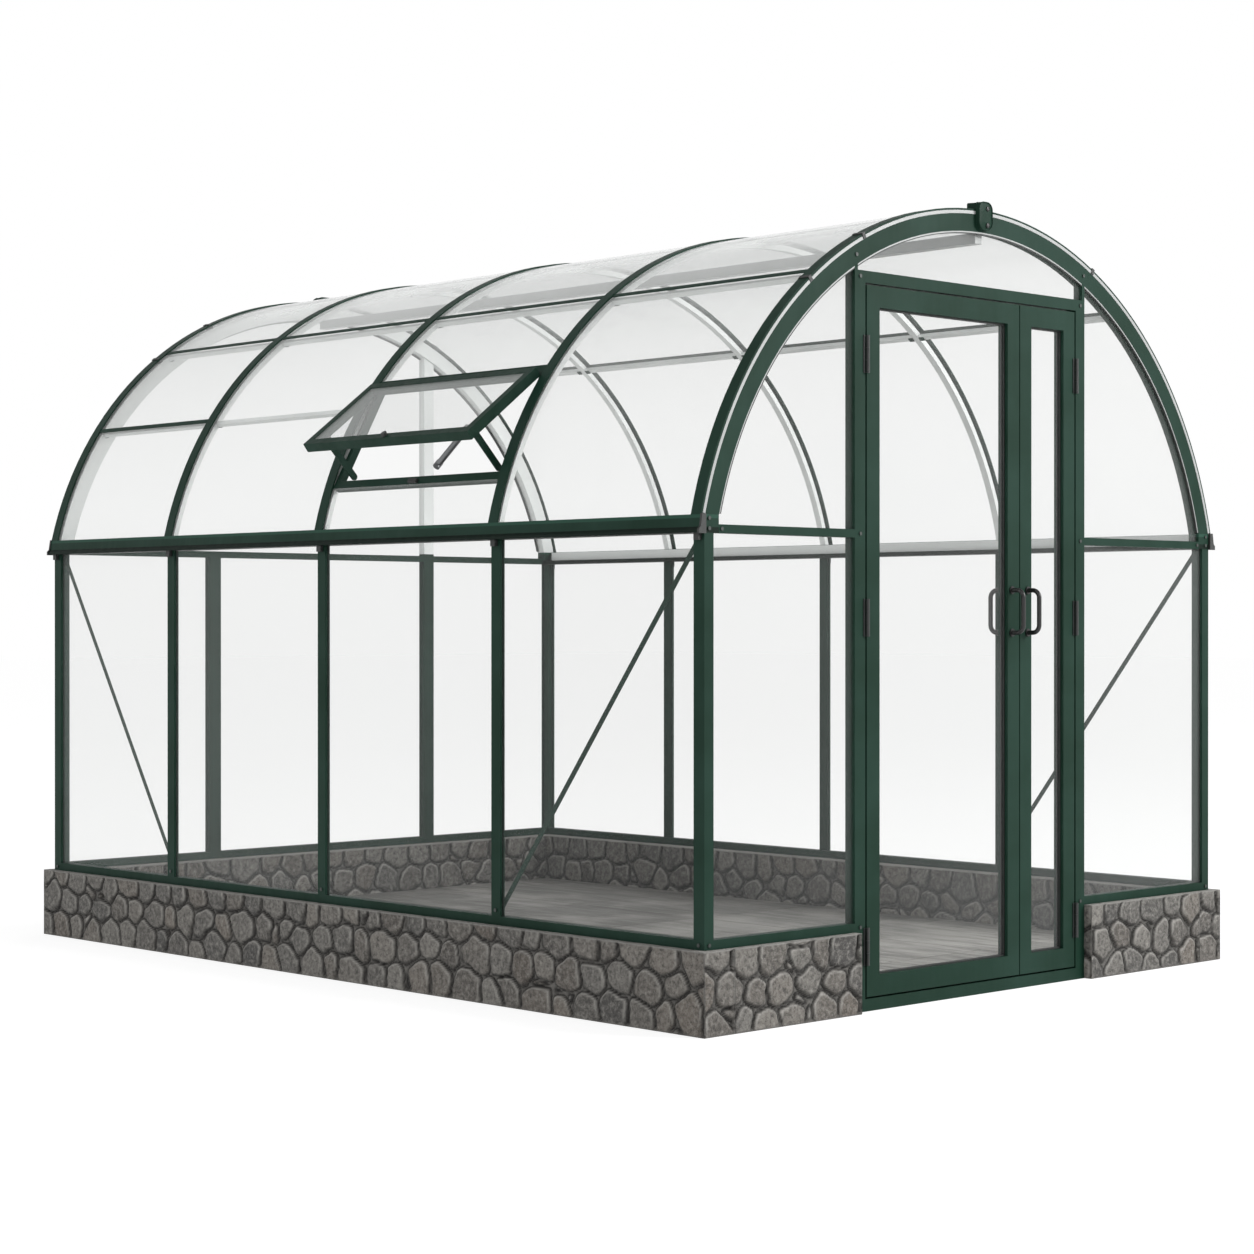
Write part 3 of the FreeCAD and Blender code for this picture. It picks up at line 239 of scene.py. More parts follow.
def pale_metal(name, share=1.0):
    """Bare extruded aluminium: a pale satin grey with drawn streaks along Y, times a share."""
    bare = Finish(name)
    streak = bare.noise(500.0, 3.0, where=bare.stretched(1.0, 0.05, 1.0))
    cloud = bare.noise(7.0, 3.0)
    tone = bare.blend(streak, scaled((0.70, 0.72, 0.71), share), scaled((0.84, 0.86, 0.85), share))
    clouded = bare.steps(cloud, 0.4, 0.7, 0.0, 0.5)
    tone = bare.blend(clouded, tone, scaled((0.60, 0.62, 0.61), share))
    bare.set(Base_Color=tone, Metallic=0.1, Roughness=bare.steps(streak, 0.3, 0.7, 0.30, 0.45),
             Normal=bare.bump(streak, 0.0002, 0.3))
    return bare.material


def clear_sheet(name, tint, veil, sheen):
    """A flat sheet that lets straight lines through, mirrors more at a glancing angle, and
    carries a faint uneven film that scatters light."""
    sheet = Finish(name)
    facing = sheet.add("ShaderNodeLayerWeight", {"Blend": 0.5}).outputs["Facing"]
    steep = sheet.sum("POWER", facing, 4.0)
    mirror = sheet.sum("MULTIPLY_ADD", steep, 0.9, sheen)
    cloud = sheet.noise(1.7, 4.0)
    film = sheet.steps(cloud, 0.35, 0.65, veil * 0.6, veil * 1.5)
    share = sheet.sum("MINIMUM", sheet.sum("ADD", mirror, film), 0.92)
    clear = sheet.add("ShaderNodeBsdfTransparent", {"Color": tint}).outputs[0]
    smear = sheet.noise(9.0, 3.0)
    wave = sheet.noise(2.5, 1.0)
    sheet.set(Base_Color=(0.86, 0.88, 0.87, 1.0), IOR=1.49, Specular_IOR_Level=1.0,
              Roughness=sheet.steps(smear, 0.3, 0.7, 0.08, 0.16), Normal=sheet.bump(wave, 0.004, 0.3))
    both = sheet.add("ShaderNodeMixShader", {"Fac": share, 1: clear, 2: sheet.shader.outputs[0]})
    sheet.join(both.outputs[0], sheet.output.inputs["Surface"])
    return sheet.material


def moulded_black(name, tone, gloss, grain):
    """Black plastic or paint: a fine grain bump, and lighter scuffs where it was rubbed."""
    black = Finish(name)
    scuff = black.steps(black.noise(55.0, 5.0, 0.7), 0.58, 0.75, 0.0, 0.5)
    lighter = tuple(c * 2.2 + 0.01 for c in tone)
    black.set(Base_Color=black.blend(scuff, tone, lighter),
              Roughness=black.steps(black.noise(140.0, 3.0), 0.3, 0.7, gloss, gloss + 0.15),
              Normal=black.bump(black.noise(1400.0, 2.0), 0.0002, grain))
    return black.material


def bright_steel(name):
    """Brushed grey steel: long thin streaks along Y in the roughness and in the tone."""
    steel = Finish(name)
    streak = steel.noise(800.0, 3.0, where=steel.stretched(1.0, 0.04, 1.0))
    tone = steel.blend(streak, (0.10, 0.105, 0.11), (0.26, 0.265, 0.27))
    steel.set(Base_Color=tone, Metallic=0.85, Roughness=steel.steps(streak, 0.3, 0.7, 0.28, 0.5),
              Normal=steel.bump(streak, 0.0003, 0.4))
    return steel.material


def rubble_stone():
    """Fieldstone and mortar: each stone's own tone, the mortar, painted shade in the grooves and under
    each stone, and a painted highlight on each stone's upper rim come from the mesh's attributes, with
    mottling, dark veins and grains on top."""
    stone = Finish("fieldstone_and_mortar")
    # gap holds the painted shade in the grooves round the stones and under their lower sides.
    tone, warm, gap = (stone.painted(key) for key in ("stone_tone", "stone_warmth", "crevice_painted_shade"))
    bed, painted_rim_light, worn = (stone.painted(key) for key in ("mortar", "upper_rim_painted_highlight", "worn_edge"))
    grey = stone.blend(tone, (0.052, 0.051, 0.050), (0.200, 0.190, 0.172))
    face = stone.blend(stone.sum("MULTIPLY", warm, 0.6), grey, (0.165, 0.136, 0.110))
    mottle = stone.noise(70.0, 6.0, 0.72)
    face = stone.blend(stone.steps(mottle, 0.48, 0.72, 0.0, 0.85), face, (0.300, 0.288, 0.264))
    face = stone.blend(stone.steps(mottle, 0.32, 0.48, 0.75, 0.0), face, (0.040, 0.039, 0.037))
    veins = stone.noise(110.0, 5.0, 0.7)
    face = stone.blend(stone.steps(veins, 0.36, 0.48, 0.6, 0.0), face, (0.030, 0.029, 0.027))
    # Painted highlight on each stone's upper rim.
    face = stone.blend(stone.sum("MULTIPLY", painted_rim_light, 0.75), face, (0.400, 0.388, 0.362))
    sand = stone.blend(stone.noise(190.0, 4.0, 0.7), (0.065, 0.062, 0.057), (0.215, 0.206, 0.190))
    face = stone.blend(bed, face, sand)
    # Painted shade, near black, in the grooves round the stones and under their lower sides.
    face = stone.blend(gap, face, (0.010, 0.009, 0.008))
    pale = stone.blend(stone.noise(120.0, 4.0, 0.7), (0.200, 0.193, 0.180), (0.420, 0.408, 0.385))
    face = stone.blend(worn, face, pale)
    grain = stone.noise(420.0, 3.0)
    relief = stone.bump(mottle, 0.011, 0.9)
    relief = stone.bump(veins, 0.006, 0.8, under=relief)
    relief = stone.bump(grain, 0.0008, 0.6, under=relief)
    stone.set(Base_Color=face, Roughness=stone.steps(grain, 0.3, 0.7, 0.72, 0.95), Normal=relief)
    return stone.material


def paving_stone():
    """Grey paving, paler towards the doors: each slab's own tone, brushed streaks along Y,
    sandy grains, dark joints."""
    slab = Finish("pale_paving")
    tone, gap = slab.painted("slab_tone"), slab.painted("joint")
    along = slab.add("ShaderNodeSeparateXYZ", {"Vector": slab.place}).outputs["Y"]
    # Paler towards the doors, over Y from -1.42 m to -0.55 m.
    paler_near_doors = slab.steps(along, -1.42, -0.55, 1.0, 0.0)
    body = slab.blend(tone, (0.135, 0.130, 0.120), (0.215, 0.208, 0.194))
    body = slab.blend(paler_near_doors, body, (0.56, 0.54, 0.505))
    streak = slab.noise(26.0, 5.0, 0.6, where=slab.stretched(1.0, 0.16, 1.0))
    body = slab.blend(slab.steps(streak, 0.38, 0.60, 0.0, 0.60), body, (0.105, 0.101, 0.094))
    cloud = slab.noise(3.2, 4.0)
    body = slab.blend(slab.steps(cloud, 0.48, 0.66, 0.0, 0.6), body, (0.340, 0.328, 0.306))
    grain = slab.noise(350.0, 3.0)
    body = slab.blend(slab.steps(grain, 0.55, 0.8, 0.0, 0.35), body, (0.095, 0.092, 0.086))
    body = slab.blend(slab.sum("MULTIPLY", gap, 0.7), body, (0.055, 0.052, 0.048))
    relief = slab.bump(streak, 0.002, 0.4)
    relief = slab.bump(grain, 0.0007, 0.6, under=relief)
    slab.set(Base_Color=body, Roughness=slab.steps(streak, 0.3, 0.7, 0.55, 0.8), Normal=relief)
    return slab.material


def studio_floor():
    """White studio paper: matt, glowing a little, with a very faint broad unevenness."""
    paper = Finish("studio_paper")
    cloud = paper.noise(0.6, 2.0)
    tone = paper.blend(cloud, (0.31, 0.31, 0.31), (0.33, 0.33, 0.33))
    paper.set(Base_Color=tone, Roughness=0.9, Specular_IOR_Level=0.0,
              Emission_Color=(1.0, 1.0, 1.0, 1.0), Emission_Strength=0.80)
    return paper.material


def lattice_noise(points, size, seed):
    """Smooth random heights from -1 to 1: random values on a cubic lattice of the given size,
    joined by a smoothstep blend along each axis."""
    cell = points / size
    base = np.floor(cell).astype(np.int64)
    share = cell - base
    share = share * share * (3.0 - 2.0 * share)
    total = np.zeros(len(points))
    for corner in range(8):
        step = np.array([corner & 1, corner >> 1 & 1, corner >> 2 & 1])
        mixed = ((base + step) * np.array([73856093, 19349663, 83492791])).sum(axis=1)
        mixed = mixed + seed * 2654435
        mixed = (mixed ^ (mixed >> 13)) * 1274126177 & 0x7FFFFFFF
        value = (mixed ^ (mixed >> 16)) % 65536 / 32767.5 - 1.0
        weight = np.where(step == 1, share, 1.0 - share).prod(axis=1)
        total += value * weight
    return total


def box_shell(low, high, counts):
    """The outer lattice of a box as welded quads. counts are the divisions along X, Y and Z.
    Returns the points, the quads facing outwards, and each point's outward direction, which is
    zero on the box's edges."""
    lines = [np.linspace(low[k], high[k], counts[k] + 1) for k in range(3)]
    quads = []
    stride = np.array([1, counts[0] + 1, (counts[0] + 1) * (counts[1] + 1)])
    for axis in range(3):
        u, v = [k for k in range(3) if k != axis]
        for side in (0, 1):
            grid_u, grid_v = np.meshgrid(np.arange(counts[u] + 1), np.arange(counts[v] + 1),
                                         indexing="ij")
            ids = grid_u * stride[u] + grid_v * stride[v] + side * counts[axis] * stride[axis]
            quad = np.stack([ids[:-1, :-1], ids[1:, :-1], ids[1:, 1:], ids[:-1, 1:]], axis=-1)
            quad = quad.reshape(-1, 4)
            turns_out = (side == 1) == (axis != 1)
            quads.append(quad if turns_out else quad[:, ::-1])
    used, back = np.unique(np.concatenate([q.ravel() for q in quads]), return_inverse=True)
    index = np.stack([used % stride[1], used // stride[1] % (counts[1] + 1), used // stride[2]], axis=1)
    points = np.stack([lines[k][index[:, k]] for k in range(3)], axis=1)
    ends = (index == np.array(counts)).astype(float) - (index == 0).astype(float)
    only_one = (np.abs(ends).sum(axis=1) == 1)[:, None]
    return points, back.reshape(-1, 4), ends * only_one


def stone_seeds(length, height, seed):
    """Centres and radii of the stones on one face: three uneven courses of big stones, with small
    pinning stones between them. Each row is (along, up, radius, tone, warmth)."""
    pick = np.random.default_rng(seed)
    rows = []
    courses = [0.035, 0.115, 0.195] if pick.random() < 0.5 else [0.022, 0.100, 0.180]
    for course in courses:
        count = int(math.ceil(length / STONE_PITCH)) + 2
        middle_course = (course > 0.05) * (course < 0.16)
        along = (np.arange(count) - 0.5 + 0.5 * middle_course) * STONE_PITCH
        along = along + pick.uniform(-0.022, 0.022, count)
        up = course + pick.uniform(-0.020, 0.020, count)
        radius = pick.uniform(0.034, 0.062, count)
        rows.append(np.stack([along, up, radius], axis=1))
    small = int(length / PINNING_STONE_PITCH)
    rows.append(np.stack([pick.uniform(0, length, small), pick.uniform(0, height, small),
                          pick.uniform(0.006, 0.020, small)], axis=1))
    stones = np.concatenate(rows)
    extra = np.stack([pick.beta(2.2, 2.0, len(stones)), pick.random(len(stones)) ** 2], axis=1)
    return np.concatenate([stones, extra], axis=1)


def stone_face(along, up, length, height, seed):
    """Heights and attributes of rubble walling over a flat face. A point belongs to the stone whose
    squared distance less its squared radius is least. The soft least distance to the borders with
    the neighbours rounds each outline, and the height rises from a groove to a flat dome. The
    painted shade in the groove and under each stone's lower side, the mortar, tone, warmth and a
    painted highlight on each stone's upper rim are returned for the shader."""
    stones = stone_seeds(length, height, seed)
    flat = np.stack([along, up, np.zeros_like(along)], axis=1)
    across = along + 0.006 * lattice_noise(flat, 0.045, seed + 1)
    across = across + 0.002 * lattice_noise(flat, 0.014, seed + 4)
    upward = up + 0.006 * lattice_noise(flat, 0.045, seed + 2)
    upward = upward + 0.002 * lattice_noise(flat, 0.014, seed + 5)
    height_out, crevice_painted_shade, mortar, tone, warm, painted_rim_light = (np.empty(len(along)) for _ in range(6))
    for start in range(0, len(along), POINTS_AT_ONCE):
        part = slice(start, start + POINTS_AT_ONCE)
        middle = across[part].mean()
        reach = np.ptp(across[part]) / 2 + 0.25
        near = stones[np.abs(stones[:, 0] - middle) < reach]
        far = (across[part][:, None] - near[:, 0]) ** 2
        far = far + 1.25 * (upward[part][:, None] - near[:, 1]) ** 2
        power = far - near[:, 2] ** 2
        own = power.argmin(axis=1)
        gap = np.hypot(near[own, 0][:, None] - near[:, 0], near[own, 1][:, None] - near[:, 1])
        border = (power - power.min(axis=1)[:, None]) / (2.0 * np.maximum(gap, 1e-6))
        border[np.arange(len(own)), own] = 1.0
        softened = np.exp(-border / BORDER_SOFTNESS).sum(axis=1)
        inside = -BORDER_SOFTNESS * np.log(softened) - HALF_JOINT
        rise = np.clip(inside / STONE_SHOULDER, 0.0, 1.0)
        dome = np.sqrt(np.clip(1.0 - (1.0 - rise) ** 2, 0.0, 1.0))
        slope = 0.05 * np.sin(own * 12.9) * (across[part] - near[own, 0])
        slope = slope + 0.05 * np.cos(own * 7.1) * (upward[part] - near[own, 1])
        bed = -0.0080 - 0.005 * np.exp(-((inside + 0.001) / 0.0022) ** 2)
        risen = -JOINT_DEPTH + JOINT_DEPTH * dome + slope * dome
        height_out[part] = np.where(inside > 0.0, risen, bed)
        # Painted shade in the groove round each stone.
        crevice_painted_shade[part] = np.exp(-((inside - 0.0002) / 0.0032) ** 2)
        away = np.stack([across[part] - near[own, 0], upward[part] - near[own, 1]])
        facing = (-0.45 * away[0] + 0.89 * away[1]) / np.maximum(np.hypot(*away), 1e-6)
        # A painted highlight on each stone's upper-left rim, as if lit from the upper left.
        edge = np.exp(-((inside - 0.0065) / 0.0034) ** 2)
        painted_rim_light[part] = edge * np.clip(0.25 + 0.95 * facing, 0.0, 1.0)
        # Painted shade on each stone's lower-right edge, as if lit from the upper left, added to the
        # groove's shade.
        painted_underside_shade = 0.75 * np.exp(-((inside - 0.0050) / 0.0050) ** 2) * np.clip(-facing, 0.0, 1.0)
        crevice_painted_shade[part] = np.maximum(crevice_painted_shade[part], painted_underside_shade)
        mortar[part] = np.clip((0.001 - inside) / 0.002, 0.0, 1.0)
        tone[part], warm[part] = near[own, 3], near[own, 4]
    relief = 0.0011 * lattice_noise(flat, 0.018, seed + 7)
    relief = relief + 0.0006 * lattice_noise(flat, 0.008, seed + 8)
    return height_out + relief, crevice_painted_shade, mortar, tone, warm, painted_rim_light


def mesh_piece(name, points, quads, attributes=None, smooth=True):
    """Puts whole arrays of points and quads into a new mesh object at the origin."""
    mesh = bpy.data.meshes.new(name)
    mesh.vertices.add(len(points))
    mesh.vertices.foreach_set("co", np.ascontiguousarray(points, np.float32).ravel())
    mesh.loops.add(quads.size)
    mesh.loops.foreach_set("vertex_index", np.ascontiguousarray(quads, np.int32).ravel())
    mesh.polygons.add(len(quads))
    mesh.polygons.foreach_set("loop_start", np.arange(len(quads), dtype=np.int32) * quads.shape[1])
    mesh.polygons.foreach_set("use_smooth", np.full(len(quads), smooth))
    mesh.update(calc_edges=True)
    for key, values in (attributes or {}).items():
        made = mesh.attributes.new(key, "FLOAT", "POINT")
        made.data.foreach_set("value", np.ascontiguousarray(values, np.float32))
    mesh.validate()
    piece = bpy.data.objects.new(name, mesh)
    bpy.context.scene.collection.objects.link(piece)
    return piece


def rubble_wall(name, low, high, joined, material):
    """A dwarf wall of fieldstone: the shell of its box, pushed in along each face's outward
    direction by the rubble pattern, which fades out over the last 7 mm before every free edge.
    The pattern runs on through walls that meet, at the ends listed in joined as (axis, side).
    The top is a pale mortar bed with a shallow roughness, and the upper and end edges are worn
    pale over the last 4.5 mm."""
    low, high = np.array(low), np.array(high)
    size = high - low
    counts = [max(4, int(round(part / (STONE_STEP if part > SHORT_SIDE else END_FACE_STEP))))
              for part in size]
    points, quads, out = box_shell(low, high, counts)
    total = len(points)
    mortar, tone = np.ones(total), np.full(total, 0.6)
    crevice_painted_shade, warm, painted_rim_light, worn = (np.zeros(total) for _ in range(4))
    moved = points.copy()
    for axis in (0, 1):
        other = 1 - axis
        for side in (-1.0, 1.0):
            mine = out[:, axis] == side
            spot = points[mine]
            room = [spot[:, 2] - low[2], high[2] - spot[:, 2]]
            if (other, -1) not in joined:
                room.append(spot[:, other] - low[other])
            if (other, 1) not in joined:
                room.append(high[other] - spot[:, other])
            fade = np.clip(np.min(room, axis=0) / EDGE_FADE, 0.0, 1.0)
            along = spot[:, other] - PLINTH_BOX[0][other]
            outer = abs(abs((low, high)[side > 0][axis]) - PLINTH_BOX[1][axis]) < 0.001
            length = PLINTH_BOX[1][other] - PLINTH_BOX[0][other]
            seed = 61 + axis * 40 + int(side) * 9 + outer * 120
            found = stone_face(along, spot[:, 2], length, size[2], seed)
            push, crevice_painted_shade[mine], mortar[mine], tone[mine], warm[mine], painted_rim_light[mine] = found
            moved[mine, axis] += side * np.minimum(push, 0.0012) * fade
            crevice_painted_shade[mine] *= fade
            worn[mine] = 1.0 - np.clip(np.min(room[1:], axis=0) / WORN_EDGE, 0.0, 1.0)
    top = out[:, 2] == 1.0
    worn[points[:, 2] > high[2] - 1e-6] = 1.0
    moved[top, 2] += 0.0006 * lattice_noise(points[top], 0.03, 5) - 0.0006
    values = {"crevice_painted_shade": crevice_painted_shade, "mortar": mortar, "stone_tone": tone, "stone_warmth": warm,
              "upper_rim_painted_highlight": painted_rim_light, "worn_edge": worn}
    piece = mesh_piece(name, moved, quads, values)
    piece.data.materials.append(material)
    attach(piece, "root")
    return piece


def paving_lines(low, high, pitch, first):
    """Grid lines across the paving: four close lines at every joint and a 30 mm step between."""
    joints = np.arange(low + first, high - PAVING_STEP, pitch)
    close = (joints[:, None] + np.array(JOINT_LINES)).ravel()
    coarse = np.arange(low, high, PAVING_STEP)
    if len(joints):
        coarse = coarse[np.abs(coarse[:, None] - joints).min(axis=1) > 0.012]
    return np.unique(np.concatenate([[low, high], close, coarse])), joints


def nearest(places, joints):
    """Distance from each place to the nearest joint, or 1 m where there are no joints."""
    if not len(joints):
        return np.ones(len(places))
    return np.abs(places[:, None] - joints).min(axis=1)


def paving(name, low, high, material, seed):
    """Laid paving: a box's shell whose top sinks 2.5 mm in the joints and undulates 0.4 mm."""
    lines_x, joints_x = paving_lines(low[0], high[0], SLAB_PITCH[0], SLAB_PITCH[0] * 0.62)
    lines_y, joints_y = paving_lines(low[1], high[1], SLAB_PITCH[1], SLAB_PITCH[1] * 0.48)
    counts = [len(lines_x) - 1, len(lines_y) - 1, 2]
    points, quads, out = box_shell([0, 0, 0], counts, counts)
    points[:, 0] = lines_x[points[:, 0].round().astype(int)]
    points[:, 1] = lines_y[points[:, 1].round().astype(int)]
    points[:, 2] = low[2] + points[:, 2] / 2 * (high[2] - low[2])
    near = np.minimum(nearest(points[:, 0], joints_x), nearest(points[:, 1], joints_y))
    gap = (near < JOINT_HALF_WIDTH).astype(float)
    cell = np.searchsorted(joints_x, points[:, 0]) * 31 + np.searchsorted(joints_y, points[:, 1])
    tone = np.sin(cell * 12.9898 + seed) * 43758.5453 % 1.0
    top = out[:, 2] == 1.0
    wave = PAVING_WAVE - PAVING_WAVE * lattice_noise(points[top], 0.2, seed)
    points[top, 2] -= JOINT_SINK * gap[top] + wave
    piece = mesh_piece(name, points, quads, {"joint": gap, "slab_tone": tone}, smooth=False)
    piece.data.materials.append(material)
    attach(piece, "root")
    return piece


def rounded_plate(name, middle, width, height, corner, depth, material, side, bevel=0.002):
    """A plate facing -Y, or +Y when side is 1: a rectangle whose corners are arcs, |x| <= width/2
    and |z| <= height/2, in rings that step back by a quarter circle of the bevel. A small hole of a
    thousandth of its size stays at the middle of both faces."""
    sides = 64
    turns = np.linspace(0.0, 2.0 * math.pi, sides, endpoint=False)
    flat = np.stack([np.cos(turns), np.sin(turns)], axis=1)
    half = np.array([width / 2.0, height / 2.0])
    back = min(corner, half.min())
    rings = [(0.001, 0.0, bevel), (0.5, 0.0, bevel)]
    for angle in np.linspace(0.0, math.pi / 2.0, 5):
        rings.append((1.0, bevel * (1.0 - math.sin(angle)), bevel * (1.0 - math.cos(angle))))
    rings.append((1.0, depth, 0.0))
    rings.append((0.001, depth, 0.0))
    points = []
    for scale, deep, inset in rings:
        core = np.sign(np.round(flat, 9)) * (half - back)
        outline = (core + flat * (back - inset)) * scale
        depths = np.full(sides, middle[1] - side * deep)
        points.append(np.stack([middle[0] + outline[:, 0], depths, middle[2] + outline[:, 1]], axis=1))
    count = len(rings)
    ring, step = np.meshgrid(np.arange(count - 1), np.arange(sides), indexing="ij")
    after = (step + 1) % sides
    quads = np.stack([ring * sides + step, (ring + 1) * sides + step, (ring + 1) * sides + after,
                      ring * sides + after], axis=-1).reshape(-1, 4)
    quads = quads if side < 0 else quads[:, ::-1]
    piece = mesh_piece(name, np.concatenate(points), quads, smooth=False)
    piece.data.materials.append(material)
    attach(piece, "root")
    return piece


def arch_band(name, inner, outer, low_y, high_y, start, end, material):
    """A rectangular bar bent round the arch: x = r cos a, z = centre + r sin a, with r from inner
    to outer, y from low to high, and a from start to end in steps of about 0.65 degrees."""
    count = max(2, int(abs(end - start) / math.radians(0.65)))
    angle = np.linspace(start, end, count + 1)
    corners = ((inner, low_y), (outer, low_y), (outer, high_y), (inner, high_y))
    points = np.stack([np.stack([r * np.cos(angle), np.full(count + 1, y),
                                 ARCH_CENTRE + r * np.sin(angle)], axis=1) for r, y in corners], axis=1)
    step, corner = np.meshgrid(np.arange(count), np.arange(4), indexing="ij")
    after = (corner + 1) % 4
    quads = np.stack([step * 4 + corner, step * 4 + after, (step + 1) * 4 + after,
                      (step + 1) * 4 + corner], axis=-1).reshape(-1, 4)
    ends = np.array([[3, 2, 1, 0], [count * 4, count * 4 + 1, count * 4 + 2, count * 4 + 3]])
    piece = mesh_piece(name, points.reshape(-1, 3), np.concatenate([quads, ends]), smooth=False)
    piece.data.materials.append(material)
    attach(piece, "root")


def seal_ring(name, low, high, thick, material, body):
    """A flat rectangular ring in the XZ plane, thick wide, between the two corners."""
    near, far = low[1], high[1]
    loops = []
    for inset, deep in ((0.0, near), (thick, near), (thick, far), (0.0, far)):
        left, right = low[0] + inset, high[0] - inset
        bottom, top = low[2] + inset, high[2] - inset
        loops.append([(left, deep, bottom), (right, deep, bottom), (right, deep, top),
                      (left, deep, top)])
    ring, step = np.meshgrid(np.arange(4), np.arange(4), indexing="ij")
    next_ring, next_step = (ring + 1) % 4, (step + 1) % 4
    quads = np.stack([ring * 4 + step, ring * 4 + next_step, next_ring * 4 + next_step,
                      next_ring * 4 + step], axis=-1).reshape(-1, 4)
    piece = mesh_piece(name, np.array(loops).reshape(-1, 3), quads, smooth=False)
    piece.data.materials.append(material)
    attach(piece, body)


def dress(names, material):
    """Gives CAD nodes one material in every material slot."""
    for name in names:
        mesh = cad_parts[name].data
        mesh.materials.clear()
        mesh.materials.append(material)


green = green_coat("green_powder_coat")
rail_green = green_coat("green_coat_bare_rail_inside", bare_rail_inside)
gable_green = green_coat("green_coat_bare_gable_inside", bare_gable_inside)
pale = pale_metal("bare_aluminium")
wall_pane = clear_sheet("clear_wall_sheet", (0.968, 0.969, 0.968, 1.0), 0.004, 0.006)
roof_pane = clear_sheet("clear_roof_sheet", (0.979, 0.980, 0.979, 1.0), 0.016, 0.012)
plastic = moulded_black("black_moulded_plastic", (0.012, 0.014, 0.013), 0.42, 0.5)
black_metal = moulded_black("black_coated_steel", (0.010, 0.013, 0.012), 0.32, 0.25)
handle_black = moulded_black("black_handle_coat", (0.008, 0.008, 0.008), 0.28, 0.2)
bolt_metal = moulded_black("dark_bolt_heads", (0.018, 0.026, 0.022), 0.35, 0.3)
steel = bright_steel("brushed_strut_steel")
# Pale metal for the ridge beam, and for the painted highlights along the pane edges at the arches.
strip = pale_metal("pale_edge_strip", 0.42)
stone = rubble_stone()
pale_slab = paving_stone()

dress(GREEN_METAL, green)
dress(PALE_METAL, pale)
dress(["ridge_beam"], strip)
dress(BARE_INSIDE_RAILS, rail_green)
dress(BARE_INSIDE_GABLE, gable_green)
dress(DOOR_AND_WALL_PANES, wall_pane)
dress(ROOF_PANES, roof_pane)
dress(BLACK_PLASTIC, plastic)
dress(BLACK_STEEL, black_metal)
dress(HANDLES, handle_black)
dress(["frame_bolts"], bolt_metal)
dress(["vent_strut"], steel)

# The arch: its centre height and radius follow from the end rib's crown, width and springing.
rib_low, rib_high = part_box("rib_front")
rib_rise = rib_high.z - rib_low.z
RIB_OUTER = (rib_high.x ** 2 + rib_rise ** 2) / (2.0 * rib_rise)
ARCH_CENTRE = rib_high.z - RIB_OUTER
RIB_INNER = RIB_OUTER - RIB_DEPTH
GABLE_FACE = abs(rib_low.y)


def add_arch_trim():
    """Pale strips over the roof panes' ends, and a pale strip and a dark line where the gable panes
    meet the arch; the pale strips are painted highlights for the bright edges of the clear panes. Three
    black clips sit on the arch's cap."""
    strip_start = math.asin((rib_low.z - ARCH_CENTRE) / RIB_OUTER) + 0.002
    inner_edge_start = math.asin((rib_low.z - ARCH_CENTRE) / RIB_INNER) + 0.004
    # Each row: name, inner and outer radius, how far it stands out of the gable, how far it goes in.
    bands = (
        # A painted highlight over the roof panes' end faces.
        ("pane_end_strip_", RIB_OUTER + 0.0007, RIB_OUTER + 0.0093, 0.0006, 0.002, strip_start, strip),
        # A painted highlight along the gable panes' edge at the arch.
        ("arch_seal_", RIB_INNER - 0.0040, RIB_INNER + 0.001, -0.0006, PANE_REBATE, inner_edge_start, strip),
        ("arch_seal_line_", RIB_INNER - 0.0065, RIB_INNER - 0.0039, -0.0002, PANE_REBATE,
         inner_edge_start, plastic),
    )
    for end, label in ENDS:
        face = end * GABLE_FACE
        for name, inner, outer, proud, depth, start, material in bands:
            edge = sorted((face + end * proud, face - end * depth))
            arch_band(name + label, inner, outer, *edge, start, math.pi - start, material)
        edge = sorted((face + end * 0.0025, face - end * 0.034))
        for number, angle in enumerate(CLIP_ANGLES):
            middle = math.radians(angle)
            arch_band("cap_clip_%s_%d" % (label, number + 1), RIB_OUTER + 0.001, RIB_OUTER + 0.0180,
                      *edge, middle - CLIP_HALF_ANGLE, middle + CLIP_HALF_ANGLE, plastic)


def add_ridge_blocks():
    """At each end of the ridge, a rounded block on the gable with two bolts, and a saddle behind."""
    low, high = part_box("ridge_end_brackets")
    middle_z = (low.z + high.z) / 2.0
    for end, label in ENDS:
        face = low.y if end < 0 else high.y
        block = rounded_plate(
            "ridge_block_" + label, (0.0, face, middle_z), width=high.x - low.x, height=high.z - low.z,
            corner=0.024, depth=abs(face) - GABLE_FACE, material=green, side=end, bevel=0.003)
        saddle = rounded_plate(
            "ridge_saddle_" + label, (0.0, end * GABLE_FACE, high.z - 0.016), width=0.052, height=0.030,
            corner=0.006, depth=0.034, material=green, side=end)
        heads = [rounded_plate(
            "ridge_bolt_%s_%s" % (place, label), (0.006, face + end * 0.003, level), width=0.014,
            height=0.014, corner=0.007, depth=0.004, material=plastic, side=end, bevel=0.0012)
            for place, level in (("upper", high.z - 0.020), ("lower", low.z + 0.014))]
        for made in (block, saddle, *heads):
            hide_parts("ridge_end_brackets")


def add_door_seals():
    """A black seal round each door's pane, on both faces."""
    for body in ("wide_door", "narrow_door"):
        low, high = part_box(body + "_pane")
        outer = (low.y - SEAL_WIDTH, low.y)
        inner = (high.y, high.y + SEAL_WIDTH)
        for side, (near, far) in (("outer", outer), ("inner", inner)):
            seal_ring("%s_seal_%s" % (body, side), (low.x + SEAL_INSET, near, low.z + SEAL_INSET),
                      (high.x - SEAL_INSET, far, high.z - SEAL_INSET), SEAL_WIDTH, plastic, body)


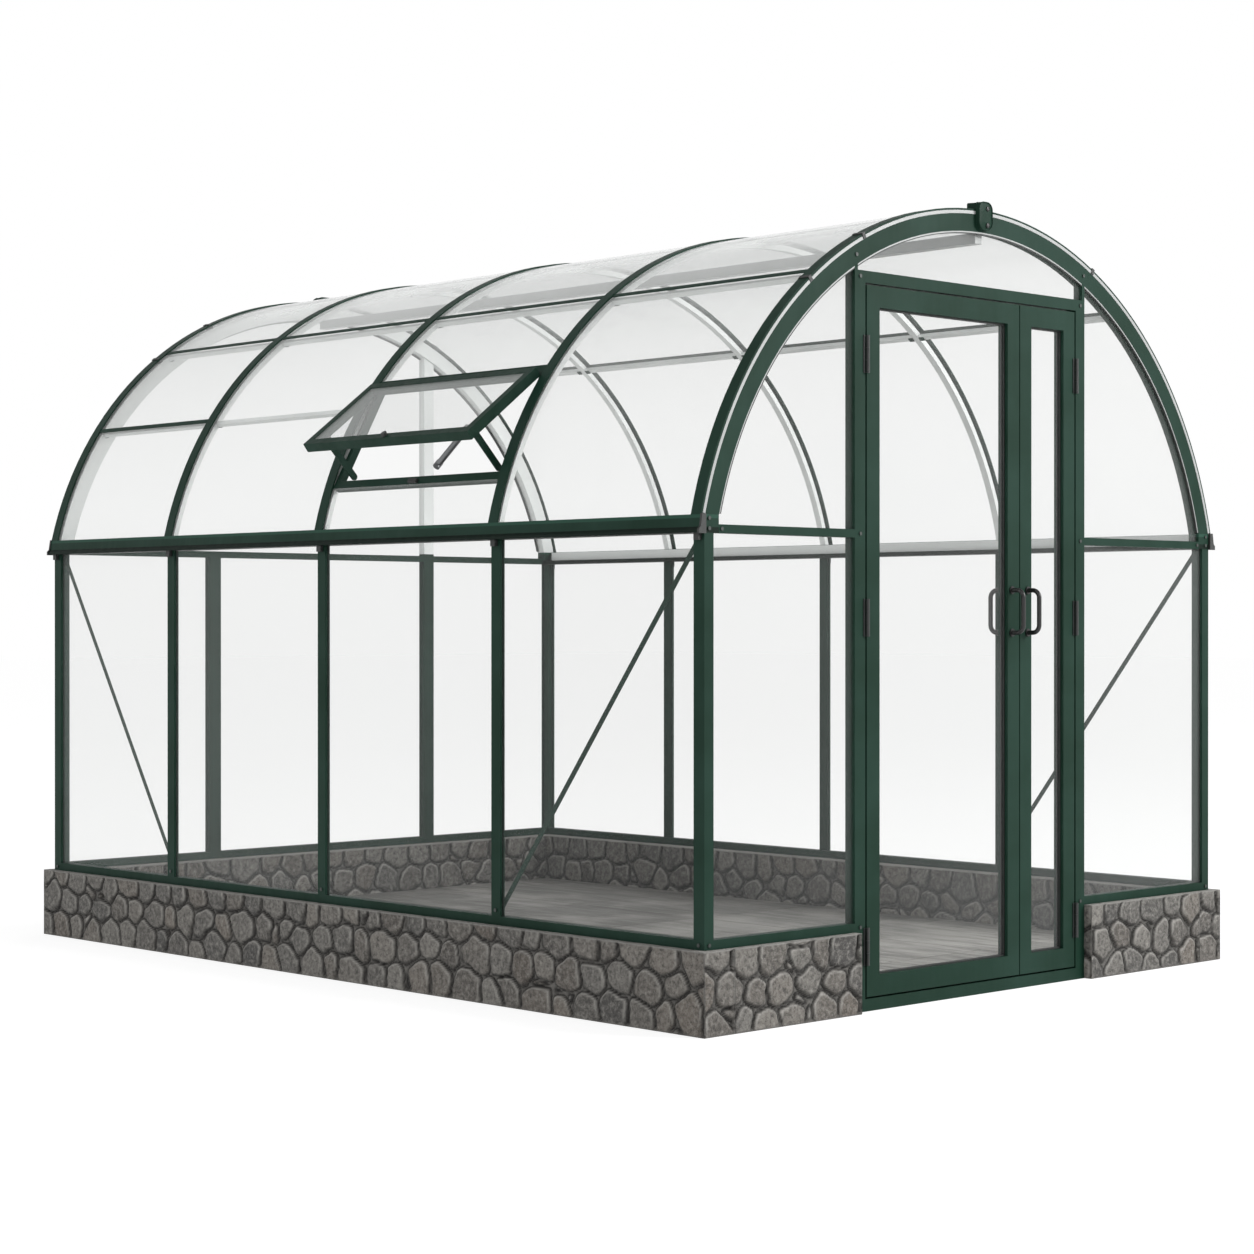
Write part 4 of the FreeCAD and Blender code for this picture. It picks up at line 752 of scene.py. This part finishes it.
add_arch_trim()
add_ridge_blocks()
add_door_seals()

for node, joined in (("plinth_left", [(0, 1)]), ("plinth_right", [(0, -1)]),
                     ("plinth_rear", [(0, -1), (0, 1)])):
    wall_low, wall_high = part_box(node)
    wall = rubble_wall("stone_wall_" + node.split("_")[1], wall_low, wall_high, joined, stone)
    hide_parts(node)

# The front plinth stops each side of the door frame.
front_low, front_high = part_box("plinth_front")
door_low, door_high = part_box("door_jamb_left")[0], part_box("door_jamb_right")[1]
for name, start, end, side in (("stone_wall_front_left", front_low.x, door_low.x, -1),
                               ("stone_wall_front_right", door_high.x, front_high.x, 1)):
    wall = rubble_wall(name, (start, front_low.y, front_low.z), (end, front_high.y, front_high.z),
                       [(0, side)], stone)
    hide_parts("plinth_front")

slab_low, slab_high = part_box("floor_slab")
back_of_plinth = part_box("plinth_front")[1].y
main_floor = paving("paving_inside", (slab_low.x, back_of_plinth, slab_low.z), slab_high, pale_slab, 3)
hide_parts("floor_slab")
doorway = paving("paving_doorway", (door_low.x + DOORWAY_GAP, slab_low.y, slab_low.z),
                 (door_high.x - DOORWAY_GAP, back_of_plinth, slab_high.z), pale_slab, 8)
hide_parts("floor_slab")


def make_studio():
    """A pale floor, a world that is white up to 17 degrees above the horizon and dims to 0.45 by 49
    degrees, and two soft lamps."""
    reach, level = 60.0, -0.001
    corners = [[-reach, -reach, level], [reach, -reach, level], [reach, reach, level],
               [-reach, reach, level]]
    ground = mesh_piece("studio_floor", np.array(corners), np.array([[0, 1, 2, 3]]))
    ground.data.materials.append(studio_floor())
    world = bpy.data.worlds.new("studio_white")
    world.use_nodes = True
    sky = world.node_tree
    shine = sky.nodes["Background"].inputs["Strength"]
    up = sky.nodes.new("ShaderNodeSeparateXYZ")
    sky.links.new(sky.nodes.new("ShaderNodeTexCoord").outputs["Generated"], up.inputs[0])
    fall = sky.nodes.new("ShaderNodeMapRange")
    fall.interpolation_type = "SMOOTHSTEP"
    for socket, value in (("From Min", 0.30), ("From Max", 0.75), ("To Min", 1.0), ("To Max", 0.45)):
        fall.inputs[socket].default_value = value
    sky.links.new(up.outputs["Z"], fall.inputs["Value"])
    sky.links.new(fall.outputs[0], shine)
    sky.nodes["Background"].inputs["Color"].default_value = (1.0, 1.0, 1.0, 1.0)
    bpy.context.scene.world = world
    for name, spot, aim, power, size in (
        ("front_softbox", (4.5, -8.5, 5.5), (0.0, 0.0, 1.0), 900.0, 4.0),
        ("side_softbox", (-8.0, -3.0, 7.0), (0.0, 0.0, 1.0), 120.0, 4.0),
    ):
        lamp = bpy.data.lights.new(name, "AREA")
        lamp.energy = power
        lamp.shape = "DISK"
        lamp.size = size
        holder = bpy.data.objects.new(name, lamp)
        holder.location = spot
        holder.rotation_euler = (Vector(aim) - Vector(spot)).to_track_quat("-Z", "Y").to_euler()
        bpy.context.scene.collection.objects.link(holder)
    bpy.context.scene.view_settings.view_transform = "Standard"


def make_camera():
    """The eye is level with the eaves, seeing the long left wall and the door end."""
    lens = bpy.data.cameras.new("camera")
    lens.lens = 76.2
    lens.sensor_width = 36.0
    eye = bpy.data.objects.new("camera", lens)
    eye.location = (-5.8353, -6.1776, 1.0365)
    eye.rotation_euler = Vector((0.6916, 0.7223, -0.0018)).to_track_quat("-Z", "Y").to_euler()
    bpy.context.scene.collection.objects.link(eye)
    bpy.context.scene.camera = eye


make_studio()
make_camera()
